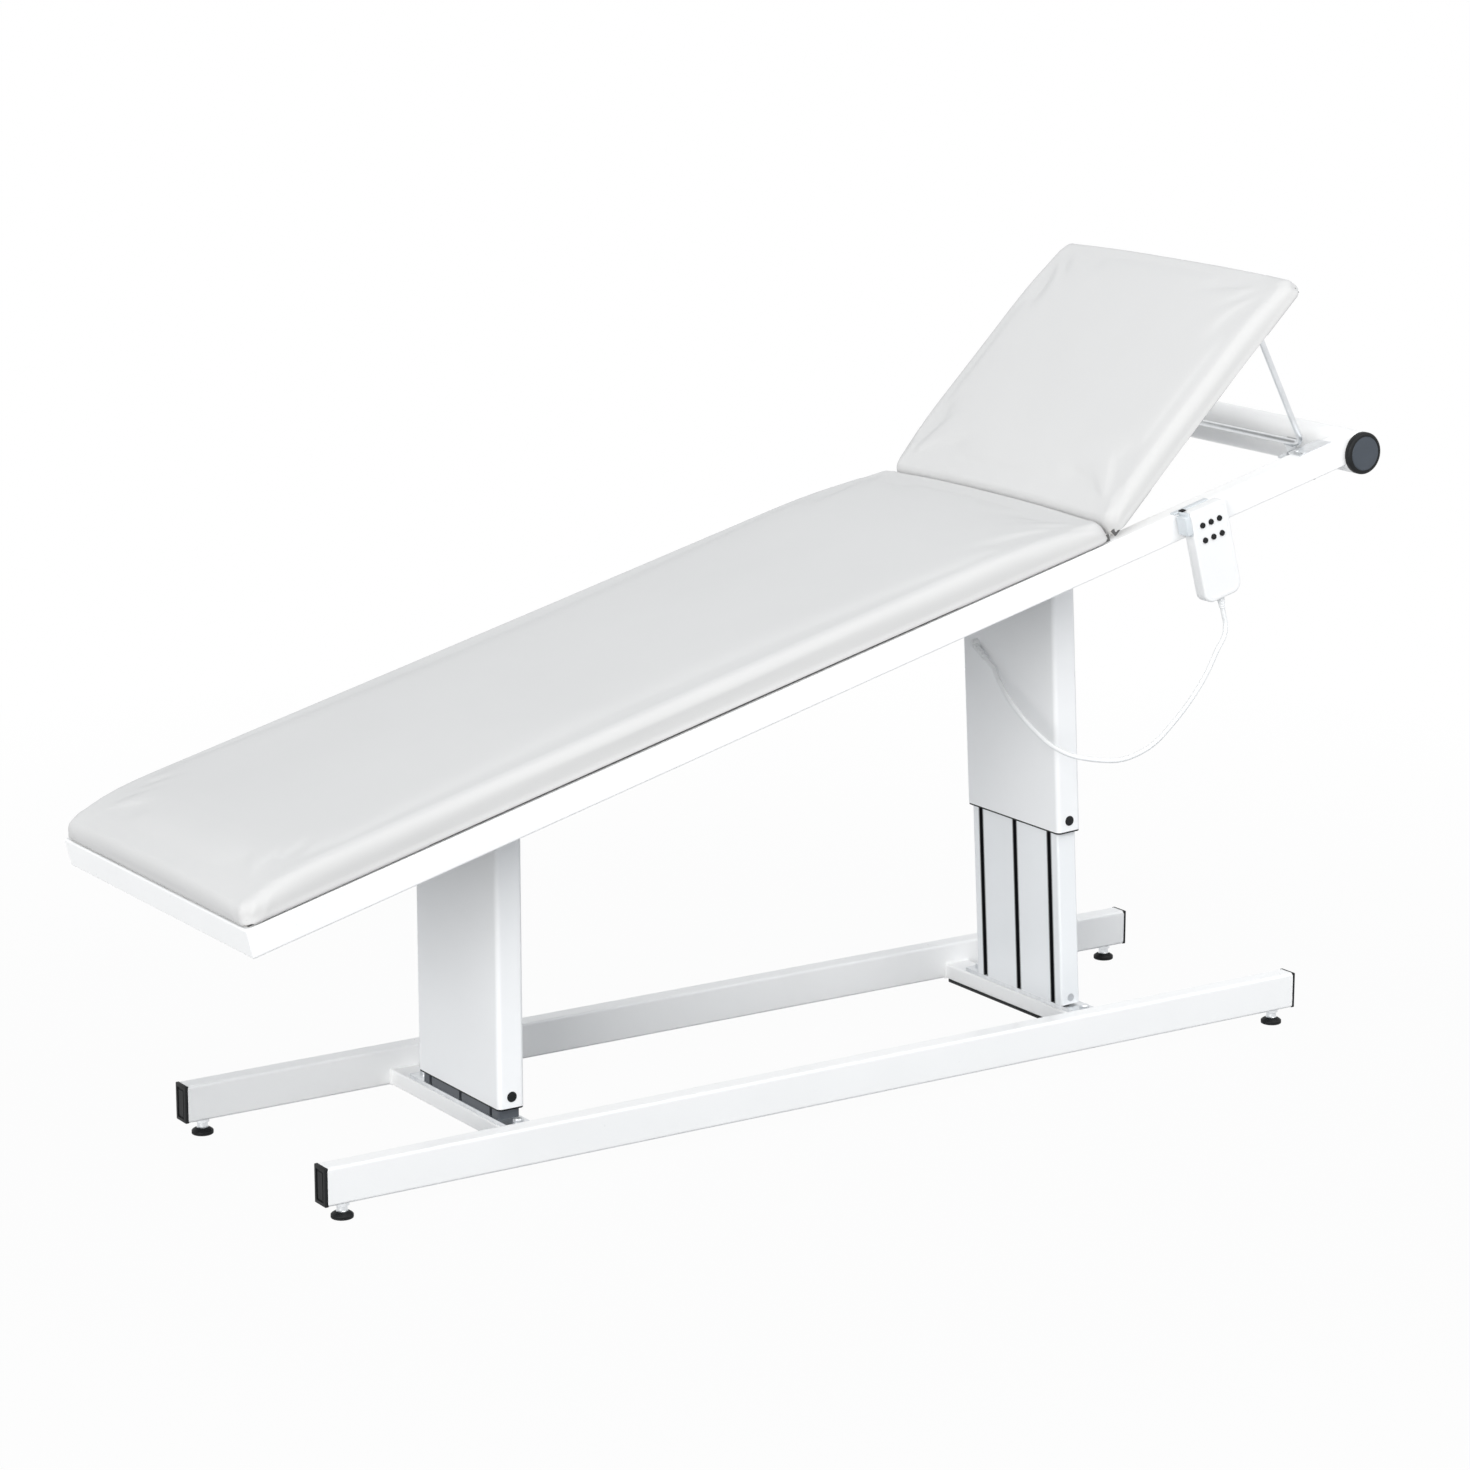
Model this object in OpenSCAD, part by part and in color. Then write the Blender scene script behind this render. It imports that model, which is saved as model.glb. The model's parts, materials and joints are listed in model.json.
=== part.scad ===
// Electric examination table on two lifting columns, shown with the foot end
// down and the backrest raised. Millimetres. The origin is on the floor under
// the middle of the whole table; +X points to the head end, +Z up, and the
// handset hangs on the -Y side.

/* [Floor frame] */
// Length of a floor rail
floor_rail_l = 1650; // [1500:10:1800]
// Width of a floor rail
floor_rail_w = 30; // [26:1:36]
// Height of a floor rail
floor_rail_h = 54; // [48:1:64]
// Wall of the floor tubes
floor_wall = 2.5; // [2:0.5:3.5]
// Distance between the centre lines of the two floor rails
floor_track = 414; // [390:2:460]
// Gap between the floor and a floor rail
floor_gap = 23; // [20:1:30]
// Width of a crossmember
crossmember_w = 44; // [40:1:52]
// Height of a crossmember
crossmember_h = 23; // [20:1:26]
// Distance from the origin to the floor frame's middle
floor_shift = 30; // [20:1:40]

/* [Levelling feet] */
// Diameter of a foot's pad
foot_pad_d = 31; // [26:1:38]
// Diameter of a foot's neck
foot_neck_d = 15; // [13:1:18]
// Diameter of a foot's threaded stem
foot_stem_d = 10; // [8:1:12]
// Distance from a rail's end to a foot's axis
foot_inset = 29; // [26:1:40]

/* [Columns] */
// Distance from the floor frame's middle to the foot column's axis
foot_column_reach = 481; // [470:1:500]
// Outer thickness of a column casing
casing_t = 42; // [40:1:46]
// Outer width of a column casing
casing_w = 228; // [226:1:240]
// Height of a column casing
casing_l = 466; // [450:2:480]
// Wall of a column casing
casing_wall = 3; // [2.5:0.5:3.5]
// Height of the foot casing's lower edge above the floor
casing_bottom_z = 69; // [66:1:80]
// Thickness of the inner column profile
profile_t = 34; // [32:0.5:35]
// Width of the inner column profile
profile_w = 213; // [208:1:214]
// Height of the inner column profile
profile_l = 418; // [410:1:424]
// Wall of the inner column profile
profile_wall = 3; // [2.5:0.5:3.5]
// Width of a groove in the column profile
groove_w = 7; // [5:0.5:8]
// Depth of a groove in the column profile
groove_depth = 5; // [4:0.5:5.5]
// Distance from the middle groove to an outer groove
groove_pitch = 85; // [80:1:88]
// Lean of the head column towards the foot end
head_lean = 2.96; // [2.5:0.02:3.4]
// Height of the head column's base pivot
base_pivot_z = 65; // [64:1:72]
// Diameter of the pivot pins
pivot_pin_d = 12; // [10:0.5:13]
// Diameter of a lifting screw
lift_screw_d = 12; // [10:0.5:12.5]

/* [Top frame] */
// Slope of the top frame, foot end down
frame_tilt = 14.5; // [14:0.1:15]
// Width over the side rails
frame_w = 548; // [540:2:600]
// Width of a side rail
side_rail_w = 30; // [26:1:36]
// Height of a side rail
side_rail_h = 41; // [38:1:46]
// Wall of the top frame's tubes
frame_wall = 2; // [1.5:0.5:3]
// Distance along the frame from the backrest's hinge to the head tube's axis
head_tube_reach = 458; // [446:2:506]
// Diameter of the head tube
head_tube_d = 62.5; // [58:0.5:66]
// Distance along the frame from its foot end to the foot column's pin
foot_pin_s = 485; // [475:1:495]
// Depth of the foot column's pin below the top of the rails
foot_pin_drop = 38; // [36:1:42]
// Distance along the frame from the backrest's hinge to the head column's pin
head_pin_reach = 19.5; // [16:0.5:24]
// Depth of the head column's pin below the top of the rails
head_pin_drop = 24; // [24:0.5:28]

/* [Cushions] */
// Length of the leg section, up to the backrest's hinge
leg_l = 1434; // [1428:1:1440]
// Length of the backrest
back_l = 474; // [470:1:482]
// Slope of the backrest to the frame
back_angle = 30.3; // [29.5:0.1:31]
// Height of the leg cushion's edge in its middle
leg_pad_h = 46; // [42:1:52]
// Height of the backrest cushion's edge in its middle
back_pad_h = 38; // [34:1:44]
// Thickness of the boards under the cushions
board_t = 10; // [9:0.5:12]
// Rise of a cushion's middle above its edges
pad_crown = 7; // [4:0.5:9]

/* [Backrest stay] */
// Diameter of the stay rod
stay_d = 9; // [8:0.5:10]
// Distance from the frame's edge to a leg of the stay
stay_inset = 52; // [50:1:58]
// Distance along the backrest to the stay's pivot
stay_pivot_s = 398; // [394:1:402]
// Depth of the stay's pivot below the backrest
stay_pivot_drop = 10; // [9:0.5:11]
// Distance from the hinge to the stay's bar when it stands
stay_seat_s = 394; // [392:1:396]
// Depth of the stay's bar below the top of the rails
stay_seat_drop = 3; // [2:0.5:4]

/* [Handset] */
// Width of the handset
handset_w = 68; // [60:1:74]
// Height of the handset
handset_h = 142; // [130:1:150]
// Thickness of the handset
handset_t = 22; // [20:1:26]
// Distance along the frame from the backrest's hinge to the handset's middle
handset_reach = 150.5; // [136:0.5:186]
// Diameter of a button
button_d = 8; // [7:0.5:10]
// Distance between two buttons of a row
button_pitch = 15.7; // [14:0.1:18]
// Travel of a button
button_travel = 1.2; // [0.8:0.1:1.6]
// Diameter of the handset's cord
cord_d = 7; // [6:0.5:8]

/* [Hidden] */
$fn = 48;

// Clearances that the pieces share
run_gap = 0.05;
seat_gap = 0.3;
overrun = 1;

// Floor frame
floor_rail_z = floor_gap + floor_rail_h / 2;
floor_rail_r = 4;
foot_xs = [for (side = [-1, 1]) floor_shift + side * (floor_rail_l / 2 - foot_inset)];
foot_column_x = floor_shift - foot_column_reach;
foot_y = floor_track / 2;
crossmember_top = floor_gap + crossmember_h;
crossmember_l = floor_track - floor_rail_w;
crossmember_r = 3;
end_cap_t = 2.5;
end_cap_recess = 1.5;
end_cap_rim = 4;
end_cap_spigot_l = 12;
base_plate_t = 6;
base_plate_w = crossmember_w - 2 * crossmember_r;
base_plate_over = 31;
base_plate_l = casing_w + 2 * base_plate_over;
bolt_d = 8;
bolt_gap = 0.2;
bolt_head_w = 13;
bolt_head_h = 5.5;
bolt_washer_d = 16;
bolt_washer_t = 1.5;
bolt_shank_l = 20;
bolt_edge = 14;
bolt_y = base_plate_l / 2 - bolt_edge;

// Levelling feet
foot_pad_h = 5;
foot_flare_h = 10;
foot_nut_w = 17;
foot_nut_h = 6;
foot_stem_rise = 36;

// Columns
casing_r = 7;
casing_cap_t = 6;
casing_pin_drop = 15;
trim_t = 2.5;
trim_inset = 0.5;
plug_d = 15;
plug_head = 1.5;
plug_stem_d = 9;
plug_rise = 16;
profile_r = 4;
groove_wall = 2.5;
groove_skin = groove_depth + groove_wall;
groove_box = groove_w + 2 * groove_wall;
profile_pin_rise = 10;
bracket_lug_y = 45;
bracket_lug_l = 30;
bracket_lug_t = 24;
bracket_shift = 7;
ram_wall = 2.2;
ram_t = profile_t - 2 * groove_skin - 2 * seat_gap;
ram_w = 2 * groove_pitch - groove_box - 2 * seat_gap;
ram_r = 3;
ram_start = 40;
ram_l = 365;
nut_t = 20;
nut_w = 60;
gearbox_w = 70;
gearbox_h = 56;
motor_gap = 1;
motor_d = casing_t - 2 * casing_wall - 2 * motor_gap;
motor_l = 62;
lift_screw_l = 337;
pivot_pin_over = 1;
foot_pin_z = casing_bottom_z + casing_l - casing_pin_drop;

// Top frame: its lower end, and points along it (s) and square to it (n)
frame_x = foot_column_x - foot_pin_s * cos(frame_tilt) - foot_pin_drop * sin(frame_tilt);
frame_z = foot_pin_z - foot_pin_s * sin(frame_tilt) + foot_pin_drop * cos(frame_tilt);
function frame_point(s, y, n) = [
  frame_x + s * cos(frame_tilt) - n * sin(frame_tilt),
  y,
  frame_z + s * sin(frame_tilt) + n * cos(frame_tilt)
];
head_tube_s = leg_l + head_tube_reach;
head_pin_s = leg_l + head_pin_reach;
side_rail_r = 3;
mitre = 45;
rail_y = frame_w / 2 - side_rail_w / 2;
rail_inner_y = frame_w / 2 - side_rail_w;
cross_rail_w = 30;
cross_rail_h = 35;
head_tube_sink = 0.75;
head_tube_n = -head_tube_d / 2 - head_tube_sink;
head_tube_wall = 2.5;
tube_cap_t = 10;
tube_cap_edge = 3;
rail_plug_d = 9;
rail_plug_h = 5;
rail_plug_taper = 2;
rail_plug_stem_d = 6;
rail_plug_from_tube = 83;
lug_t = 6;
lug_gap = 3;
lug_y = casing_w / 2 + lug_gap + lug_t / 2;
lug_reach = 16;
lug_top = 8;
lug_rail_gap = 50;
lug_depth = 16;
middle_rail_s = (foot_pin_s + head_pin_s) / 2;

// The head column runs from its base pivot up to its pin under the frame
head_pin = frame_point(head_pin_s, 0, -head_pin_drop);
base_pivot_x = head_pin.x + (head_pin.z - base_pivot_z) * tan(head_lean);
head_column_l = (head_pin.z - base_pivot_z) / cos(head_lean);
head_casing_start = head_column_l + casing_pin_drop - casing_l;

// The foot pin slides a little in its slot as the frame tilts and lifts
slot_travel = 8.7;
slot_dip = 1.7;
slot_margin = 0.8;
slot_shift = slot_travel / 2;
slot_drop = 0.55;

// Cushions and their boards
pad_lift = 2.5;
board_inset = 8;
board_gap = 0.4;
pad_side_r = 20;
pad_foot_r = 5;
pad_end_r = 8;
pad_corner_r = 24;
pad_side_share = 0.6;
pad_foot_share = 0.25;
pad_draw = 3;
fold_gap = 0.7;
fold_reach = 110;
hinge_clear = 6;
leg_foot_h = 22;
leg_fold_h = 29;
leg_foot_ramp = 165;
leg_fold_ramp = 220;
leg_foot_ease = 3;
leg_fold_ease = 1.6;
back_fold_h = 27;
back_end_h = 24;
back_ramp = 150;
back_ease = 2;
notch_from_bar = 44;
notch_l = 78;
notch_inset = 37;
notch_y = frame_w / 2 - notch_inset;

// Hinges
knuckle_r = 4;
hinge_pin_r = 2;
leaf_t = 2.2;
leaf_l = 28;
leaf_w = 48;
leaf_inset = 60;
leaf_y = frame_w / 2 - leaf_inset;
leaf_gap = 5.5;
knuckle_l = leaf_w / 3;

// Stay
stay_reach = frame_w / 2 - stay_inset;
stay_foot = [stay_seat_s, -stay_seat_drop];
stay_head = [
  stay_pivot_s * cos(back_angle) + stay_pivot_drop * sin(back_angle),
  stay_pivot_s * sin(back_angle) - stay_pivot_drop * cos(back_angle)
];
stay_leg = stay_foot - stay_head;
stay_l = norm(stay_leg);
stay_slope = atan2(stay_leg.y, stay_leg.x);
stay_lug_t = 6;
stay_lug_gap = 6;
stay_lug_r = 9;
stay_lug_base = 26;
stay_pin_l = 22;
stay_bend_r = 14;
stay_pin_bend_r = 8;
seat_plate_t = 1.5;
seat_plate_l = 60;
seat_plate_w = 28;
seat_plate_over = 16;
seat_flange_t = 3;
seat_tab_t = 3;
seat_tab_up = 8;
seat_tab_down = 5;
seat_tab_slope = 45;
seat_tab_w = 21;
seat_clear = 1;
seat_arm_drop = 27;
seat_arm_t = 3;
seat_web_s = 4;
seat_web_h = 20;
screw_d = 4;
screw_l = 8;
screw_head_d = 8;
screw_head_h = 0.6;
screw_from_bar = 33;
screw_spacing = 16;

// Handset
handset_s = leg_l + handset_reach;
handset_top_n = 1;
handset_back_t = 7;
handset_wall = 2.5;
handset_r = 8;
handset_foot_r = 16;
hook_t = 2;
handset_back_y = -frame_w / 2 - hook_t;
handset_front_y = handset_back_y - handset_t;
hook_flange_h = 34;
hook_lap = 10;
hook_share = 0.8;
hook_tongue = 7;
button_rest = 0.8;
button_proud = button_travel + button_rest;
button_gap = 0.1;
button_row_drop = 24.5;
button_row_pitch = 23;
button_collar = 1.2;
button_l = 7;
relief_l = 18;
relief_d = 12;
relief_tip_d = 9;
cord_gap = 0.1;

// Cord: it ends in the gland, and the points of its hanging loop are chosen by
// hand, measured from where it leaves the handset
gland_y = 76;
gland_rise = 517;
gland_boss_d = 15;
gland_boss_end_d = 12;
gland_boss_l = 9;
gland_spout_d = 11;
gland_spout_sink = 2.5;
gland_gap = 0.5;
gland_tip_d = 9;
gland_reach = [-7.2, -31, -16.2];
gland_face = [
  base_pivot_x - gland_rise * sin(head_lean) - casing_t / 2 * cos(head_lean),
  gland_y,
  base_pivot_z + gland_rise * cos(head_lean) - casing_t / 2 * sin(head_lean)
];
cord_start = frame_point(handset_s, handset_back_y - handset_t / 2, handset_top_n - handset_h - relief_l);
cord_end = gland_face + gland_reach;
cord_hang = [
  [3.1, 0, -12], [6.2, 0, -24], [4, -1, -42], [-10, -1, -64], [-28, 0, -97], [-53, 4, -133],
  [-80, 11, -166], [-102, 20, -191], [-124, 31, -207], [-147, 44, -216], [-171, 62, -217],
  [-197, 90, -213], [-211, 122, -203], [-215, 155, -189], [-214, 195, -171], [-206, 239, -152],
  [-189, 287, -135], [-179.2, 310.7, -125.2], [-179, 321.4, -119.7]
];
cord_points = concat([cord_start], [for (p = cord_hang) cord_start + p], [cord_end]);
cord_sides = 10;
cord_steps = 2;
cord_side_shares = [0.86, 0.51, 0];

// Helpers

module round_rect(a, b, r) {
  square([a - 2 * r, b], center = true);
  square([a, b - 2 * r], center = true);
  for (x = [-1, 1], y = [-1, 1])
    translate([x * (a / 2 - r), y * (b / 2 - r)])
      circle(r);
}

module round_bar(a, b, l, r) {
  linear_extrude(l)
    round_rect(a, b, r);
}

// Rectangular tube along +Z, centred on the axis
module box_tube(a, b, l, r, wall) {
  linear_extrude(l)
    difference() {
      round_rect(a, b, r);
      round_rect(a - 2 * wall, b - 2 * wall, max(r - wall, r / 4));
    }
}

// Turns +Z to +X, with the first side along Y and the second along Z
module along_x() {
  rotate([90, 0, 90])
    children();
}

// Turns +Z to +Y, with the first side along X and the second along Z
module along_y() {
  rotate([-90, 0, 0])
    children();
}

module y_cylinder(d, l) {
  rotate([90, 0, 0])
    cylinder(d = d, h = l, center = true);
}

module on_frame() {
  translate([frame_x, 0, frame_z])
    rotate([0, -frame_tilt, 0])
      children();
}

module on_backrest() {
  on_frame()
    translate([leg_l, 0, 0])
      rotate([0, -back_angle, 0])
        children();
}

module on_foot_column() {
  translate([foot_column_x, 0, 0])
    children();
}

module on_head_column() {
  translate([base_pivot_x, 0, base_pivot_z])
    rotate([0, -head_lean, 0])
      children();
}

module on_head_casing() {
  on_head_column()
    translate([0, 0, head_casing_start])
      children();
}

module on_foot_casing() {
  on_foot_column()
    translate([0, 0, casing_bottom_z])
      children();
}

module both_sides() {
  children();
  mirror([0, 1, 0])
    children();
}

// Floor frame

module floor_rail(side) {
  color("white")
    difference() {
      translate([floor_shift - floor_rail_l / 2, side * foot_y, floor_rail_z])
        along_x()
          box_tube(floor_rail_w, floor_rail_h, floor_rail_l, floor_rail_r, floor_wall);
      for (x = foot_xs)
        translate([x, side * foot_y, floor_gap - overrun])
          cylinder(d = foot_stem_d + 2 * run_gap, h = floor_wall + 2 * overrun);
    }
}

module near_floor_rail() {
  floor_rail(-1);
}

module far_floor_rail() {
  floor_rail(1);
}

module crossmember(x) {
  color("white")
    difference() {
      translate([x, -crossmember_l / 2, floor_gap + crossmember_h / 2])
        along_y()
          box_tube(crossmember_w, crossmember_h, crossmember_l, crossmember_r, floor_wall);
      bolt_holes(x, crossmember_top - floor_wall, floor_wall);
    }
}

module bolt_holes(x, z, t) {
  for (side = [-1, 1])
    translate([x, side * bolt_y, z - overrun])
      cylinder(d = bolt_d + 2 * bolt_gap, h = t + 2 * overrun);
}

module foot_crossmember() {
  crossmember(foot_column_x);
}

module head_crossmember() {
  crossmember(base_pivot_x + bracket_shift);
}

module rail_end_caps() {
  color([0.08, 0.08, 0.08])
    translate([floor_shift, 0, floor_rail_z])
      for (x = [0, 1], side = [-1, 1])
        mirror([x, 0, 0])
          translate([floor_rail_l / 2, side * foot_y, 0])
            along_x()
              rail_end_cap();
}

module rail_end_cap() {
  in_w = floor_rail_w - 2 * floor_wall - 2 * seat_gap;
  in_h = floor_rail_h - 2 * floor_wall - 2 * seat_gap;
  difference() {
    union() {
      round_bar(floor_rail_w, floor_rail_h, end_cap_t, floor_rail_r);
      translate([0, 0, -end_cap_spigot_l])
        round_bar(in_w, in_h, end_cap_spigot_l, floor_rail_r / 2);
    }
    translate([0, 0, end_cap_t - end_cap_recess])
      round_bar(floor_rail_w - 2 * end_cap_rim, floor_rail_h - 2 * end_cap_rim, end_cap_t, floor_rail_r / 2);
    translate([0, 0, -end_cap_spigot_l - overrun])
      round_bar(in_w - end_cap_rim, in_h - end_cap_rim, end_cap_spigot_l, floor_rail_r / 4);
  }
}

module base_plate(x) {
  difference() {
    translate([x, 0, crossmember_top])
      round_bar(base_plate_w, base_plate_l, base_plate_t, crossmember_r);
    bolt_holes(x, crossmember_top, base_plate_t);
  }
}

module foot_base_plate() {
  color([0.82, 0.83, 0.85])
    base_plate(foot_column_x);
}

module head_pivot_bracket() {
  lug_w = bracket_lug_t;
  lug_base = crossmember_top + base_plate_t;
  lug_h = base_pivot_z - lug_base;
  color([0.82, 0.83, 0.85])
    difference() {
      union() {
        base_plate(base_pivot_x + bracket_shift);
        for (side = [-1, 1])
          translate([base_pivot_x, side * bracket_lug_y, lug_base]) {
            translate([-lug_w / 2, -bracket_lug_l / 2, 0])
              cube([lug_w, bracket_lug_l, lug_h]);
            translate([0, 0, lug_h])
              y_cylinder(lug_w, bracket_lug_l);
          }
      }
      translate([base_pivot_x, 0, base_pivot_z])
        y_cylinder(pivot_pin_d + 2 * run_gap, profile_w);
    }
}

module base_bolts() {
  color([0.8, 0.8, 0.82])
    for (x = [foot_column_x, base_pivot_x + bracket_shift], side = [-1, 1])
      translate([x, side * bolt_y, crossmember_top + base_plate_t])
        base_bolt();
}

module base_bolt() {
  cylinder(d = bolt_washer_d, h = bolt_washer_t);
  translate([0, 0, bolt_washer_t])
    cylinder(d = bolt_head_w / cos(30), h = bolt_head_h, $fn = 6);
  translate([0, 0, -bolt_shank_l])
    cylinder(d = bolt_d, h = bolt_shank_l);
}

// Levelling feet: a round pad that flares up to a neck, with a threaded stem

module levelling_foot(x, side) {
  neck_r = foot_neck_d / 2;
  flare_r = foot_flare_h - foot_pad_h;
  color([0.09, 0.09, 0.09])
    translate([x, side * foot_y, 0]) {
      rotate_extrude()
        difference() {
          union() {
            square([foot_pad_d / 2, foot_pad_h]);
            square([neck_r + flare_r, foot_flare_h]);
            square([neck_r, floor_gap - seat_gap]);
            square([foot_stem_d / 2, floor_gap + foot_stem_rise]);
          }
          translate([neck_r + flare_r, foot_flare_h])
            circle(flare_r);
        }
      translate([0, 0, floor_gap - seat_gap - foot_nut_h])
        cylinder(d = foot_nut_w / cos(30), h = foot_nut_h, $fn = 6);
    }
}

module levelling_foot_1() {
  levelling_foot(foot_xs[0], -1);
}

module levelling_foot_2() {
  levelling_foot(foot_xs[0], 1);
}

module levelling_foot_3() {
  levelling_foot(foot_xs[1], -1);
}

module levelling_foot_4() {
  levelling_foot(foot_xs[1], 1);
}

// Columns

module column_profile() {
  groove_ys = [-groove_pitch, 0, groove_pitch];
  color([0.66, 0.69, 0.74])
    linear_extrude(profile_l)
      difference() {
        union() {
          difference() {
            round_rect(profile_t, profile_w, profile_r);
            round_rect(profile_t - 2 * profile_wall, profile_w - 2 * profile_wall, profile_r / 2);
          }
          for (side = [-1, 1], y = groove_ys)
            translate([side * (profile_t - groove_skin) / 2, y])
              square([groove_skin, groove_box], center = true);
        }
        for (side = [-1, 1], y = groove_ys)
          translate([side * (profile_t - groove_depth + overrun) / 2, y])
            square([groove_depth + overrun, groove_w], center = true);
      }
}

module foot_column_profile() {
  on_foot_column()
    translate([0, 0, crossmember_top + base_plate_t])
      column_profile();
}

module head_column_profile() {
  on_head_column()
    difference() {
      translate([0, 0, -profile_pin_rise])
        column_profile();
      y_cylinder(pivot_pin_d + 2 * run_gap, profile_w + 2 * overrun);
    }
}

module foot_lift_nut() {
  color([0.75, 0.62, 0.35])
    on_foot_column()
      translate([0, 0, crossmember_top + base_plate_t + profile_l - nut_t])
        difference() {
          round_bar(ram_t, nut_w, nut_t, ram_r);
          translate([0, 0, -overrun])
            cylinder(d = lift_screw_d + 2 * run_gap, h = nut_t + 2 * overrun);
        }
}

module head_pivot_pin() {
  color([0.7, 0.7, 0.72])
    translate([base_pivot_x, 0, base_pivot_z])
      y_cylinder(pivot_pin_d, profile_w);
}

module head_ram_tube() {
  color([0.6, 0.62, 0.65])
    on_head_column()
      translate([0, 0, ram_start])
        difference() {
          round_bar(ram_t, ram_w, ram_l, ram_r);
          translate([0, 0, -overrun])
            round_bar(ram_t - 2 * ram_wall, ram_w - 2 * ram_wall, ram_l - nut_t + overrun, ram_r / 3);
          cylinder(d = lift_screw_d + 2 * run_gap, h = ram_l + overrun);
        }
}

module casing() {
  color([0.9, 0.91, 0.93])
    difference() {
      round_bar(casing_t, casing_w, casing_l, casing_r);
      translate([0, 0, -overrun])
        round_bar(casing_t - 2 * casing_wall, casing_w - 2 * casing_wall,
                  casing_l - casing_cap_t + overrun, casing_r - casing_wall);
      translate([0, 0, casing_l - casing_pin_drop])
        y_cylinder(pivot_pin_d + 2 * run_gap, casing_w + 2 * overrun);
      translate([0, 0, plug_rise])
        y_cylinder(plug_stem_d + 2 * run_gap, casing_w + 2 * overrun);
    }
}

module casing_trim() {
  color([0.1, 0.1, 0.1])
    translate([0, 0, -trim_t])
      linear_extrude(trim_t)
        difference() {
          round_rect(casing_t - 2 * trim_inset, casing_w - 2 * trim_inset, casing_r - trim_inset);
          round_rect(profile_t + 2 * seat_gap, profile_w + 2 * seat_gap, profile_r + seat_gap);
        }
}

module casing_plugs() {
  color([0.08, 0.08, 0.08])
    both_sides()
      translate([0, casing_w / 2, plug_rise])
        along_y() {
          cylinder(d1 = plug_d, d2 = plug_d - plug_head, h = plug_head);
          translate([0, 0, -casing_wall])
            cylinder(d = plug_stem_d, h = casing_wall);
        }
}

module drive_unit() {
  box_t = casing_t - 2 * casing_wall - 2 * seat_gap;
  color([0.3, 0.31, 0.33])
    translate([0, 0, casing_l - casing_cap_t - gearbox_h])
      difference() {
        union() {
          round_bar(box_t, gearbox_w, gearbox_h, ram_r);
          translate([0, gearbox_w / 2, motor_d / 2])
            along_y()
              cylinder(d = motor_d, h = motor_l);
        }
        translate([0, 0, gearbox_h + casing_cap_t - casing_pin_drop])
          y_cylinder(pivot_pin_d + 2 * run_gap, gearbox_w + 2 * overrun);
      }
}

module lift_screw() {
  color([0.75, 0.75, 0.77])
    translate([0, 0, casing_l - casing_cap_t - gearbox_h - lift_screw_l])
      cylinder(d = lift_screw_d, h = lift_screw_l);
}

module casing_pin() {
  color([0.7, 0.7, 0.72])
    translate([0, 0, casing_l - casing_pin_drop])
      y_cylinder(pivot_pin_d, 2 * (lug_y + lug_t / 2 + pivot_pin_over));
}

module foot_casing() {
  on_foot_casing()
    casing();
}

module foot_casing_trim() {
  on_foot_casing()
    casing_trim();
}

module foot_casing_plugs() {
  on_foot_casing()
    casing_plugs();
}

module foot_drive_unit() {
  on_foot_casing()
    drive_unit();
}

module foot_lift_screw() {
  on_foot_casing()
    lift_screw();
}

module foot_pivot_pin() {
  on_foot_casing()
    casing_pin();
}

module head_casing() {
  on_head_casing()
    casing();
}

module head_casing_trim() {
  on_head_casing()
    casing_trim();
}

module head_casing_plugs() {
  on_head_casing()
    casing_plugs();
}

module head_drive_unit() {
  on_head_casing()
    drive_unit();
}

module head_lift_screw() {
  on_head_casing()
    lift_screw();
}

module top_pivot_pin() {
  on_head_casing()
    casing_pin();
}

// A boss on the casing with a tapered spout that points along the cord
module cord_gland() {
  spout_start = gland_face - [gland_boss_l - gland_spout_sink, 0, 0];
  spout = cord_end - spout_start;
  color([0.55, 0.56, 0.58]) {
    on_head_column()
      translate([-casing_t / 2, gland_y, gland_rise])
        rotate([0, -90, 0])
          cylinder(d1 = gland_boss_d, d2 = gland_boss_end_d, h = gland_boss_l);
    translate(spout_start)
      rotate([0, acos(spout.z / norm(spout)), atan2(spout.y, spout.x)])
        cylinder(d1 = gland_spout_d, d2 = gland_tip_d, h = norm(spout) - gland_gap);
  }
}

// Top frame

// Cuts a rail's foot end to a 45 degree mitre
module mitre_cut(side) {
  translate([0, side * frame_w / 2, -side_rail_h / 2])
    rotate([0, 0, side * mitre])
      translate([-2 * side_rail_w, -2 * side_rail_w, -side_rail_h])
        cube([2 * side_rail_w, 4 * side_rail_w, 2 * side_rail_h]);
}

module side_rail(side) {
  color("white")
    on_frame()
      difference() {
        translate([0, side * rail_y, -side_rail_h / 2])
          along_x()
            box_tube(side_rail_w, side_rail_h, head_tube_s, side_rail_r, frame_wall);
        mitre_cut(side);
        translate([head_tube_s, 0, head_tube_n])
          y_cylinder(head_tube_d + 2 * run_gap, frame_w + 2 * overrun);
        translate([head_tube_s - rail_plug_from_tube, side * rail_y, -side_rail_h - overrun])
          cylinder(d = rail_plug_stem_d + 2 * run_gap, h = frame_wall + 2 * overrun);
        mirror([0, side > 0 ? 0 : 1, 0])
          seat_screw_places()
            translate([0, 0, -frame_wall - overrun])
              cylinder(d = screw_d + 2 * run_gap, h = frame_wall + 2 * overrun);
      }
}

module near_side_rail() {
  side_rail(-1);
}

module far_side_rail() {
  side_rail(1);
}

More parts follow.
